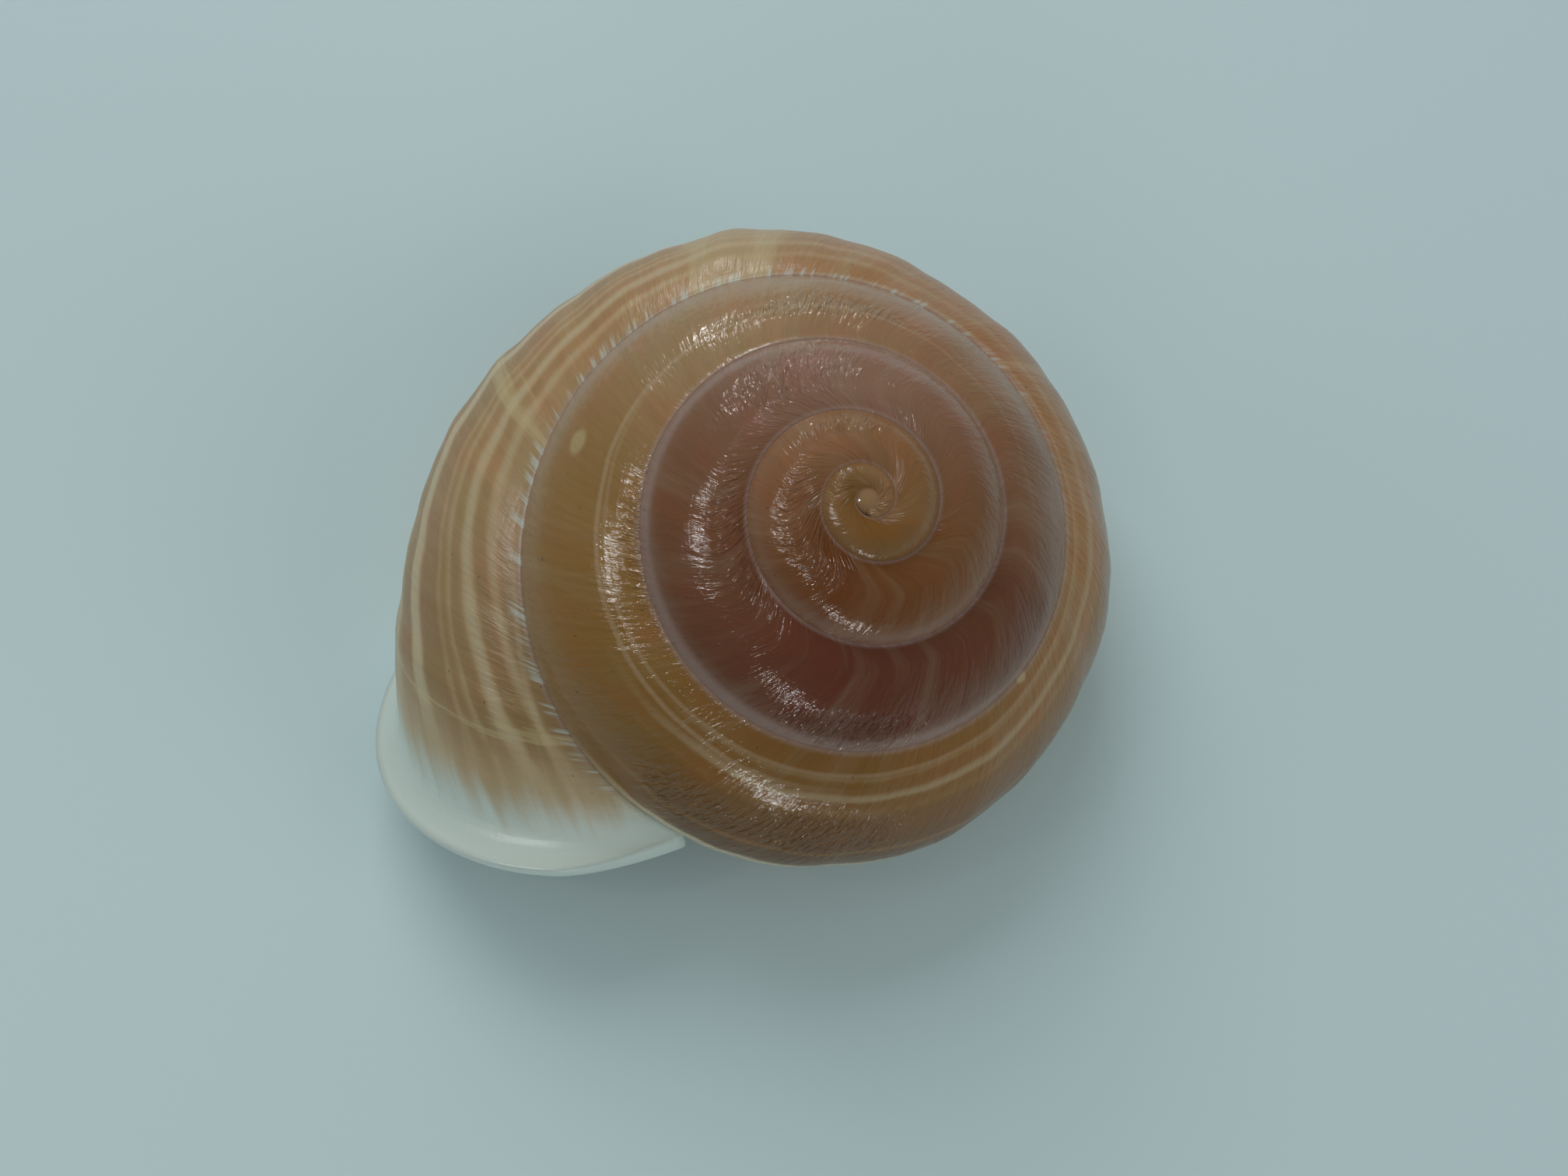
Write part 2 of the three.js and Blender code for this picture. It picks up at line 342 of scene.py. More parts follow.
@dataclass(frozen=True)
class Lip:
    """The aperture's turned-out edge, on a slanted plane.

    Ranges in degrees of section angle give where a change starts and over how many degrees it runs.
    """

    coil: Coil
    suture: float = 74.8 * DEG
    bow: float = -0.547
    slope: float = 2.157
    flare: float = 1.85
    columella_flare: float = 2.9
    columella_range: tuple[float, float] = (-70.0, 50.0)
    upper_end: float = 25.0
    lower_end: tuple[float, float] = (-150.0, 30.0)
    lower_loss: float = 0.8
    covered_rim: float = 0.6
    covered_range: tuple[float, float] = (150.0, 30.0)
    run: float = 0.08
    depth: float = 1.25
    mouth: tuple[float, float, float] = (0.3124, 0.5206, -0.7960)
    film: float = 0.3
    film_reach: float = 0.06
    settling: int = 80

    def lag(self, phi: Array) -> Array:
        """How far the lip falls back along the growth angle at section angle phi, 0 at the suture.

        A straight fall with a half cosine of bow in it, and a smooth return along the covered side.

        Args:
            phi: section angles.
        Returns:
            Radians of growth.
        """
        p = np.arctan2(np.sin(phi), np.cos(phi))

        def back(v: Array | float) -> Array:
            """Fall at angle v past the suture."""
            return self.bow * (1 - np.cos(np.minimum(v, math.pi))) / 2 + self.slope * v / math.pi

        turned = back(self.suture + math.pi) * smooth((p - self.suture) / (math.pi - self.suture))
        return np.where(p <= self.suture, back(self.suture - p), turned)

    def width(self, phi: Array) -> Array:
        """Width of the turned-out lip: none at the suture, widest at the columella.

        Args:
            phi: section angles.
        Returns:
            Millimetres.
        """
        p = np.arctan2(np.sin(phi), np.cos(phi)) / DEG
        seam = self.suture / DEG
        wide = smooth((self.columella_range[0] - p) / self.columella_range[1])
        kept = 1 - self.lower_loss * smooth((self.lower_end[0] - p) / self.lower_end[1])
        ends = smooth((seam - p) / self.upper_end) * kept
        free = (self.flare + (self.columella_flare - self.flare) * wide) * ends
        rim = self.covered_rim * smooth((p - self.covered_range[0]) / self.covered_range[1])
        return np.where(p > seam, rim, free)

    def line(self, share: Array, shown: Array, seams: Seams) -> Array:
        """Growth angle of the lip in each column: end of growth less the lag at that column's angle.

        The column's angle depends on the growth angle, so the two are brought together by steps.

        Args:
            share: way gone along the shown or the covered arc.
            shown: True on the shown arc.
            seams: seams of the outer face.
        Returns:
            One growth angle for each column.
        """
        t = np.full(share.shape, self.coil.growth)
        for _ in range(self.settling):
            low, top = seams.at(t, seams.low), seams.at(t, seams.top)
            t = 0.5 * t + 0.5 * (self.coil.growth - self.lag(low + share * (top - low)))
        lowest = t[shown][np.argmin(share[shown])]
        covered = self.coil.growth + (lowest - self.coil.growth) * smooth(share)
        return np.where(shown, t, covered)


@dataclass(frozen=True)
class Pose:
    """How the coil lies on the table: turned, then lifted by its apex's height."""

    turn: tuple[float, float, float] = (9.373 * DEG, 13.544 * DEG, -111.162 * DEG)
    apex: tuple[float, float, float] = (6.991, -3.001, 25.202)
    level: float = 0.9
    level_blend: float = 1.2

    def matrix(self) -> Array:
        """Rotation: about X, then the turned Y, then the turned Z.

        Returns:
            Three rows, from the coil's frame to the table's.
        """
        x, y, z = self.turn
        turned = Matrix.Rotation(x, 3, "X") @ Matrix.Rotation(y, 3, "Y") @ Matrix.Rotation(z, 3, "Z")
        return np.array(turned)

    def levelled(self, points: Array) -> Array:
        """Lays points of the lip that come near the table on it, sinking the height in smoothly.

        Args:
            points: points in the coil's frame.
        Returns:
            The same points, sunk to the table where they are near it.
        """
        up = self.matrix()[2]
        height = points @ up + self.apex[2]
        drop = height * (smooth((height - self.level) / self.level_blend) - 1)
        return points + drop[..., None] * up

    def placed(self, points: Array, foot: Array) -> Array:
        """Points in metres, laid on the table round foot, the middle of the box's floor."""
        return (points @ self.matrix().T + np.array(self.apex)) * MM + foot


@dataclass(frozen=True)
class Relief:
    """Low relief of the shown wall: swells, the ridges of rests, and the thread below the seam.

    Lengths are millimetres. Fades give the stretch over which a height comes in.
    """

    coil: Coil
    pose: Pose
    # lengths and heights of the low swells, and places (turns) and heights of the rests' ridges
    swell_waves: tuple[tuple[float, float], ...] = (
        (31.0, 0.10), (17.0, 0.075), (9.5, 0.05), (5.2, 0.03), (2.9, 0.018),
    )
    swell_bend: tuple[float, float] = (11.0, 1.3)
    ridges: tuple[tuple[float, float], ...] = ((-0.352, 0.30), (-0.205, 0.22), (-0.062, 0.12))
    ridge_width: float = 0.016
    seam_fade: float = 2.5
    cover_fade: float = 2.2
    lip_fade: tuple[float, float] = (2.0, 9.0)
    table_fade: float = 3.5
    spire_fade: tuple[float, float] = (3.6 * TURN, 1.6 * TURN)
    thread: float = 0.16
    thread_width: float = 0.8
    thread_power: float = 0.7
    seed: int = 7

    def swells(self, line: Array, around: Array) -> Array:
        """Low rises of the wall: sines of seeded phase along the coil, bent by a sine round the section.

        Args:
            line: the growth line's place along the coil, in millimetres.
            around: place around the section, in millimetres.
        Returns:
            Height over the smooth wall.
        """
        draw = np.random.default_rng(self.seed)
        length_round, bend = self.swell_bend
        height = np.zeros_like(line)
        for length, size in self.swell_waves:
            phases = draw.uniform(0, TURN, 2)
            wander = np.sin(around / length_round + phases[0])
            height += size * np.sin(TURN * line / length + phases[1] + bend * wander)
        return height

    def rests(self, turn: Array) -> Array:
        """Where growth rested: bell-shaped ridges, each with a step down after it.

        Args:
            turn: the growth line's place, in turns behind the lip.
        Returns:
            Height over the smooth wall.
        """
        height = np.zeros_like(turn)
        for place, size in self.ridges:
            x = (turn - place) / self.ridge_width
            height += size * np.exp(-x * x) * (1 - 0.5 * np.tanh(2 * x))
        return height

    def height(self, points: Array, t: Array, facts: dict[str, Array]) -> Array:
        """Height of the shown wall over its plain form, in millimetres.

        Swells and rests die out at both seams, at the lip and near the table, so that the covered
        sheet still lies under the whorl before. Below each seam the wall rises as the square of the
        nearness, and laps on to the whorl before in a thin thread.

        Args:
            points: the plain rings.
            t: their growth angles.
            facts: their measures.
        Returns:
            Height along the normal.
        """
        seams = smooth(facts["suture"] / self.seam_fade) * smooth(facts["cover"] / self.cover_fade)
        clear = seams * smooth((facts["edge"] - self.lip_fade[0]) / self.lip_fade[1])
        standing = smooth((points @ self.pose.matrix()[2] + self.pose.apex[2]) / self.table_fade)
        late = smooth((t - self.coil.growth + self.spire_fade[0]) / self.spire_fade[1])
        low = self.swells(facts["line"], facts["around"]) * late + self.rests(facts["line_turn"])
        scale = (self.coil.reach(t) / self.coil.reach_end) ** self.thread_power
        near = np.clip(1 - facts["suture"] / (self.thread_width * scale), 0, 1)
        return low * clear * standing + self.thread * scale * near**2


@dataclass(frozen=True)
class Bulb:
    """The rounded tip of the apex: a small sphere, in millimetres."""

    grid: tuple[int, int] = (14, 28)
    radius: float = 1.10
    centre: tuple[float, float, float] = (0.03, 0.0, -0.58)

    def surface(self, offset: int) -> tuple[Array, Array, Array, tuple[Array, Array]]:
        """The sphere as a grid of latitude and longitude.

        Args:
            offset: index of its first point in the mesh.
        Returns:
            Points, quads, the triangles at its poles, and the map places of both kinds' corners.
        """
        m, n = self.grid
        lat = (np.arange(1, m) / m * math.pi)[:, None]
        lon = (np.arange(n) / n * TURN)[None, :]
        across = np.sin(lat)
        ball = np.stack([across * np.cos(lon), across * np.sin(lon), np.cos(lat) + 0 * lon], axis=-1)
        points = np.concatenate([ball.reshape(-1, 3), [[0, 0, 1.0]], [[0, 0, -1.0]]])
        poles = (m - 1) * n
        fans = np.concatenate([fan(poles, 0, n, False), fan(poles + 1, (m - 2) * n, n, True)])
        i, j = np.meshgrid(np.arange(m - 2), np.arange(n), indexing="ij")
        u0, u1, v0, v1 = j / n, (j + 1) / n, (i + 1) / m, (i + 2) / m
        flat = np.stack([pairs(u0, v0), pairs(u0, v1), pairs(u1, v1), pairs(u1, v0)], axis=-2)
        a, b, h = np.arange(n) / n, (np.arange(n) + 1) / n, 1 / m
        tops = np.stack([pairs((a + b) / 2, 0.0), pairs(a, h), pairs(b, h)], axis=1)
        lows = np.stack([pairs((a + b) / 2, 1.0), pairs(b, 1 - h), pairs(a, 1 - h)], axis=1)
        placed = points * self.radius + np.array(self.centre)
        maps = flat.reshape(-1, 4, 2), np.concatenate([tops, lows])
        return placed, grid_faces(m - 1, n) + offset, fans + offset, maps


@dataclass(frozen=True)
class FlatMap:
    """The shell's surface laid out flat, for its baked colours; the map is 1 by 1."""

    # shelves (left, right, low, high) for each whorl, the lip with its whorl, and the inside
    shelves: tuple[tuple[float, float, float, float], ...] = (
        (0.645, 0.80, 0.84, 0.995), (0.335, 0.62, 0.84, 0.995), (0.005, 0.32, 0.84, 0.995),
        (0.005, 0.62, 0.58, 0.825), (0.005, 0.995, 0.275, 0.565), (0.005, 0.995, 0.005, 0.26),
    )
    # turns at which a new shelf starts, and the bulb's own shelf, by its corner and its size
    whorl_ends: tuple[float, ...] = (-4.0, -3.0, -2.0, -1.0)
    bulb_shelf: tuple[tuple[float, float], tuple[float, float]] = ((0.83, 0.86), (0.15, 0.12))
    # the covered side's share of a strip, the column that a strip's length is taken on, and small gaps
    covered_strip: float = 0.08
    measured_column: float = 0.6
    least_stride: float = 0.02
    tip_gap: float = 0.004

    def spread(self, surface: "ShellSurface", grid: Array, ball_maps: tuple[Array, Array]) -> Array:
        """Places of all face corners on the flat map, in the order of the faces.

        Each whorl is a strip: its length runs along the map and its section across it, the covered
        side squeezed into the last twelfth. The strips lie in shelves, none over another.

        Args:
            surface: the shell's surface.
            grid: its rings, from the nucleus to the inner end.
            ball_maps: corner places, 0 to 1, of the bulb's quads and triangles.
        Returns:
            One place for each corner.
        """
        rows, n = grid.shape[:2]
        extra = len(surface.nucleus)
        turn = surface.facts["turn"][:, 0]
        outside, lip = surface.outside_count, surface.lip_count
        marks = [0] + [extra + int(np.searchsorted(turn[:outside], k)) for k in self.whorl_ends]
        marks += [extra + outside + lip, rows - 1]
        middle = int(surface.shown_columns * self.measured_column)
        stride = np.linalg.norm(np.diff(grid[:, middle], axis=0), axis=-1) + self.least_stride
        way = np.concatenate([[0.0], np.cumsum(stride)])
        shown = 1 - self.covered_strip
        across = np.where(surface.shown, surface.share * shown, shown + surface.share * self.covered_strip)
        across = np.append(across, 1.0)
        v0, v1 = across[:-1], across[1:]
        quads = np.zeros((rows - 1, n, 4, 2))
        for (start, stop), (left, right, low, high) in zip(zip(marks[:-1], marks[1:]), self.shelves):
            u = left + (right - left) * (way[start : stop + 1] - way[start]) / (way[stop] - way[start])
            a, b = u[:-1, None], u[1:, None]
            c, d = low + (high - low) * v0, low + (high - low) * v1
            quads[start:stop] = np.stack([pairs(a, c), pairs(b, c), pairs(b, d), pairs(a, d)], axis=-2)
        left, _, low, high = self.shelves[0]
        tip = pairs(left - self.tip_gap, low + (high - low) * (v0 + v1) / 2)
        fan_out = np.stack([tip, quads[0, :, 0], quads[0, :, 3]], axis=1)
        _, right, low, high = self.shelves[-1]
        tip = pairs(right + self.tip_gap, low + (high - low) * (v0 + v1) / 2)
        fan_in = np.stack([tip, quads[-1, :, 2], quads[-1, :, 1]], axis=1)
        corner, size = (np.array(part) for part in self.bulb_shelf)
        ball = [corner + part * size for part in ball_maps]
        parts = [quads.reshape(-1, 2), ball[0].reshape(-1, 2), fan_out.reshape(-1, 2), fan_in.reshape(-1, 2)]
        return np.concatenate([*parts, ball[1].reshape(-1, 2)])


@dataclass
class ShellSurface:
    """The whole surface as one closed grid, with the measures that its finish reads."""

    coil: Coil = Coil()
    pose: Pose = Pose()
    bulb: Bulb = Bulb()
    flat_map: FlatMap = FlatMap()
    # how far the seams are worked out past both ends, in radians
    seams_before: float = 0.2
    seams_past: float = 0.3
    # the grid: columns round the section, rings along the coil, and where the rings change spacing
    shown_columns: int = 96
    covered_columns: int = 20
    seam_gathering: float = 0.7
    outside_rings: tuple[int, int, int] = (180, 270, 112)
    first: float = 0.10 * TURN
    early_end: float = 2.4 * TURN
    last_stretch: float = 0.62 * TURN
    lip_steps: tuple[float, ...] = (0.2, 0.4, 0.58, 0.72, 0.84, 0.92, 0.97, 1.0)
    front_rings: int = 15
    inside_rings: int = 92
    inside_gathering: float = 1.25
    inside_turns: float = 1.3
    inside_past: float = 0.25
    # the lip's front, its ends on the covered side, and where it comes round to the mouth's plane
    front_powers: tuple[float, float] = (0.8, 0.75)
    film_ends: float = 0.16
    turn_range: tuple[float, float] = (-10 * DEG, 45 * DEG)
    # how deep the covered sheet lies in the whorl before
    buried: float = 0.12
    # growth lines: how much of the lip's lag they keep on the early whorls, and where it grows full
    early_lean: float = 0.48
    lean_fade: float = 0.45 * TURN
    measured_steps: int = 1600
    # the cap of the coil's start, as a share of the tube's half width
    cap_rings: int = 7
    cap_depth: float = 0.8

    def __post_init__(self) -> None:
        """Finds the seams, the columns and the lip's line."""
        lip = self.lip = Lip(self.coil)
        self.relief = Relief(self.coil, self.pose)
        start = self.first - self.seams_before
        self.outer = Seams(self.coil, 0.0, -self.buried, start, self.seams_past)
        self.inner = Seams(self.coil, 1.0, lip.film, start, self.seams_past)
        even = np.arange(self.shown_columns) / self.shown_columns
        shown = even - self.seam_gathering * np.sin(TURN * even) / TURN
        covered = np.arange(self.covered_columns) / self.covered_columns
        self.share = np.concatenate([shown, covered])
        self.shown = np.arange(self.share.size) < self.shown_columns
        self.lip_t = lip.line(self.share, self.shown, self.outer)

    # ---- rows -----------------------------------------------------------------------------------

    def outside_rows(self) -> Array:
        """Growth angles of the outside's rings, finer towards the lip, sheared over the last turn.

        Returns:
            A row for each ring, with a growth angle for each column.
        """
        few, more, fine = self.outside_rings
        last = self.coil.growth - self.last_stretch
        early = np.linspace(self.first, self.early_end, few, endpoint=False)
        middle = np.linspace(self.early_end, last, more, endpoint=False)
        way = np.linspace(0.0, 1.0, fine)[:, None]
        final = last + (self.lip_t[None, :] - self.lip.run - last) * way
        even = np.concatenate([early, middle])[:, None] + np.zeros_like(self.lip_t)[None, :]
        return np.concatenate([even, final])

    def build(self) -> None:
        """Works out every ring, from the nucleus over the lip and back inside."""
        lip = self.lip
        rings, measures = [], []

        def add(points: Array, t: Array, phi: Array, inner: float, callus: Array | float) -> None:
            """Takes in one ring and its measures."""
            rings.append(points)
            measures.append(self.measures(t, phi, inner, callus))

        t = self.outside_rows()
        points, phi = self.outer.places(t, self.share[None, :], self.shown[None, :])
        facts = self.measures(t, phi, 0.0, 0.0)
        raised = np.where(self.shown[None, :], self.relief.height(points, t, facts), 0.0)
        points = points + raised[..., None] * self.normals(points)
        for row in range(t.shape[0]):
            add(points[row], t[row], phi[row], 0.0, 0.0)
        self.outside_count = t.shape[0]
        self.nucleus = self.cap(points[0], t[0])

        point, lip_phi = self.outer.places(self.lip_t, self.share, self.shown)
        outward, flare = self.lip_turn(point, lip_phi)
        ends = smooth(self.share / self.film_ends) * smooth((1 - self.share) / self.film_ends)
        covered = np.where(self.shown, 0.0, ends)
        last_raise = raised[-1]
        for v in self.lip_steps:
            tv = self.lip_t - lip.run * (1 - v)
            ring, phi_v = self.outer.places(tv, self.share, self.shown)
            out = flare * (1 - math.sqrt(1 - v * v)) + last_raise
            add(self.pose.levelled(ring + out[:, None] * outward), tv, phi_v, 0.0, 0.0)
        edge = point + (flare + last_raise)[:, None] * outward
        throat, _ = self.inner.places(self.lip_t, self.share, self.shown)
        for step in np.linspace(0, 180, self.front_rings)[1:-1] * DEG:
            ring = self.lip_front(float(step), edge, throat, covered)
            add(ring, self.lip_t, lip_phi, float((1 - math.cos(step)) / 2), covered)
        self.lip_count = len(rings) - self.outside_count

        plain = self.coil.growth - self.inside_past - self.inside_turns * TURN
        for depth in np.linspace(0.0, 1.0, self.inside_rings) ** self.inside_gathering:
            t_in = self.lip_t + (plain - self.lip_t) * depth
            ring, phi_in = self.inner.places(t_in, self.share, self.shown)
            add(ring, t_in, phi_in, 1.0, np.where(self.shown, 0.0, 1.0))
        self.rings = np.array(rings)
        self.facts = {key: np.array([m[key] for m in measures]) for key in measures[0]}

    def lip_turn(self, point: Array, phi: Array) -> tuple[Array, Array]:
        """Which way the lip turns out, and how far.

        Along the outer lip it turns away from the section's centre. Towards the columella it comes
        round to the mouth's own plane, square to the edge.

        Args:
            point: the lip's line.
            phi: its section angles.
        Returns:
            Unit vectors, and millimetres.
        """
        along = unit(np.roll(point, -1, axis=0) - np.roll(point, 1, axis=0))
        across = unit(np.cross(np.array(self.lip.mouth), along))
        rc, zc, _, _ = self.coil.section(self.lip_t)
        radial = unit(point - self.coil.point(self.lip_t, rc, zc))
        p = np.arctan2(np.sin(phi), np.cos(phi))
        free = self.shown & (p <= self.lip.suture)
        flat = np.where(free, smooth((self.turn_range[0] - p) / self.turn_range[1]), 1.0)
        outward = unit(radial + (across - radial) * flat[:, None])
        return outward, np.where(self.shown, self.lip.width(phi), 0.0)

    def lip_front(self, angle: float, edge: Array, throat: Array, covered: Array) -> Array:
        """A ring over the lip's rounded front, or over the front of the film on the covered side.

        The free lip runs from its outer edge to the throat as a flattened half round that stands
        forward by the lip's depth. The film thins out forward over the whorl before.

        Args:
            angle: 0 at the outer edge, half a turn at the throat.
            edge: the outer edge.
            throat: the first ring of the inner face.
            covered: 1 on the covered side, 0 on the free lip.
        Returns:
            The ring's points.
        """
        lip, coil = self.lip, self.coil
        c, s = math.cos(angle), math.sin(angle)
        along, forward = self.front_powers
        part = (1 + math.copysign(abs(c) ** along, c)) / 2
        free = edge * part + throat * (1 - part) + np.array(lip.mouth) * lip.depth * s**forward
        t = self.lip_t + lip.film_reach * s
        top = self.outer.at(self.lip_t, self.outer.before_top)
        low = self.outer.at(self.lip_t, self.outer.before_low)
        rise = (lip.film + self.buried) * ((1 - c) / 2) ** 2 - self.buried
        r, z = coil.meridian(t - TURN, top + self.share * (low - top), -rise)
        film = coil.point(t, r, z)
        return self.pose.levelled(free) * (1 - covered)[:, None] + film * covered[:, None]

    def cap(self, ring: Array, t: Array) -> list[Array]:
        """Rings that close the start of the coil as a half round, from the pole to the first ring.

        Args:
            ring: the first ring.
            t: its growth angles; not used.
        Returns:
            Rings from the pole outwards.
        """
        middle = ring.mean(axis=0)
        back, depth = self.start_direction()
        return [
            middle + (ring - middle) * math.sin(k) + back * depth * math.cos(k)
            for k in np.linspace(0, 90, self.cap_rings)[1:-1] * DEG
        ]

    def start_direction(self) -> tuple[Array, float]:
        """Which way the coil's start is capped, and how far it stands out.

        Returns:
            A unit vector against the growth, and millimetres.
        """
        psi = self.first - self.coil.growth
        _, _, a, _ = self.coil.section(np.array([self.first]))
        return np.array([math.sin(psi), -math.cos(psi), 0.0]), self.cap_depth * float(a[0])

    @staticmethod
    def normals(points: Array) -> Array:
        """Unit normals of a grid of rings, pointing out of the tube.

        Args:
            points: the rings.
        Returns:
            One vector for each point.
        """
        rows = np.gradient(points, axis=0)
        columns = np.roll(points, -1, axis=1) - np.roll(points, 1, axis=1)
        return unit(np.cross(rows, columns))

    # ---- measures that the finish reads ---------------------------------------------------------

    def measures(self, t: Array, phi: Array, inner: float, callus: Array | float) -> dict[str, Array]:
        """The surface's own coordinates, one value for each point.

        turn: turns behind the lip's upper end. phi: section angle in degrees. line: place of the
        growth line along the coil, in millimetres of periphery. line_turn: the same in turns.
        edge: degrees of growth behind the lip. suture: millimetres below the upper seam.
        cover: millimetres clear of the next whorl. around: millimetres around the section.
        inner: 0 outside, 1 inside. callus: 1 on the film.

        Args:
            t: growth angles.
            phi: section angles.
            inner: 0 outside to 1 inside.
            callus: 1 on the film, 0 elsewhere.
        Returns:
            The measures by name.
        """
        coil = self.coil
        t, phi = np.broadcast_arrays(t, phi)
        lean = self.early_lean + (1 - self.early_lean) * smooth(1 - (coil.growth - t) / self.lean_fade)
        line_t = t + lean * self.lip.lag(phi)
        grid = np.linspace(-0.5 * TURN, coil.growth + 0.5, self.measured_steps)
        steps = coil.reach(grid)
        length = np.concatenate([[0.0], np.cumsum((steps[1:] + steps[:-1]) / 2 * np.diff(grid))])
        _, _, a, b = coil.section(t)
        size = (a + b) / 2
        ahead = np.maximum(t - coil.growth + TURN - self.lip.film_reach, 0) * coil.reach(t)
        lid = self.outer.at(t + TURN, self.outer.before_top)
        foot = self.outer.at(t + TURN, self.outer.before_low)
        clear = np.maximum(np.maximum(phi - lid, foot - phi) * size, 0)
        return {
            "turn": (t - coil.growth) / TURN,
            "phi": phi / DEG,
            "line": np.interp(line_t, grid, length),
            "line_turn": (line_t - coil.growth) / TURN,
            "edge": (coil.growth - t - self.lip.lag(phi)) / DEG,
            "suture": (self.outer.at(t, self.outer.top) - phi) * size,
            "cover": np.hypot(clear, ahead),
            "around": phi * size,
            "inner": np.full(t.shape, inner),
            "callus": np.zeros(t.shape) + callus,
        }

    # ---- mesh -----------------------------------------------------------------------------------

    def mesh(self, name: str, foot: Array) -> bpy.types.Object:
        """Makes the object: the grid closed by a pole at each end, with the bulb at the apex.

        Args:
            name: the object's name.
            foot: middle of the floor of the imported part's box.
        Returns:
            The new object.
        """
        n = self.share.size
        grid = np.concatenate([np.array(self.nucleus), self.rings])
        rows = grid.shape[0]
        back, depth = self.start_direction()
        ends = np.stack([self.rings[0].mean(axis=0) + depth * back, grid[-1].mean(axis=0)])
        pole = rows * n
        ball, ball_quads, ball_fans, ball_maps = self.bulb.surface(pole + 2)
        xyz = self.pose.placed(np.concatenate([grid.reshape(-1, 3), ends, ball]), foot)
        fans = [fan(pole, 0, n, False), fan(pole + 1, (rows - 1) * n, n, True)]
        blocks = [grid_faces(rows, n), ball_quads, *fans, ball_fans]
        mesh = bpy.data.meshes.new(name)
        mesh.from_pydata(xyz.tolist(), [], [face for block in blocks for face in block.tolist()])
        mesh.update()
        mesh.shade_smooth()
        for key, values in self.facts.items():
            whole = np.concatenate([np.repeat(values[:1], len(self.nucleus), axis=0), values]).reshape(-1)
            tail = np.full(len(ball) + 2, values[0].mean())
            tail[1] = values[-1].mean()
            attribute = mesh.attributes.new(key, "FLOAT", "POINT")
            attribute.data.foreach_set("value", np.concatenate([whole, tail]).astype(np.float32))
        places = self.flat_map.spread(self, grid, ball_maps)
        mesh.uv_layers.new(name="OFBake").data.foreach_set("uv", places.astype(np.float32).reshape(-1))
        shape = bpy.data.objects.new(name, mesh)
        bpy.context.scene.collection.objects.link(shape)
        return shape


# ---- finish -------------------------------------------------------------------------------------


@dataclass(frozen=True)
class Change:
    """A smooth change of something along a measure: where it starts and stops, its values there."""

    start: float
    stop: float
    before: float = 0.0
    after: float = 1.0


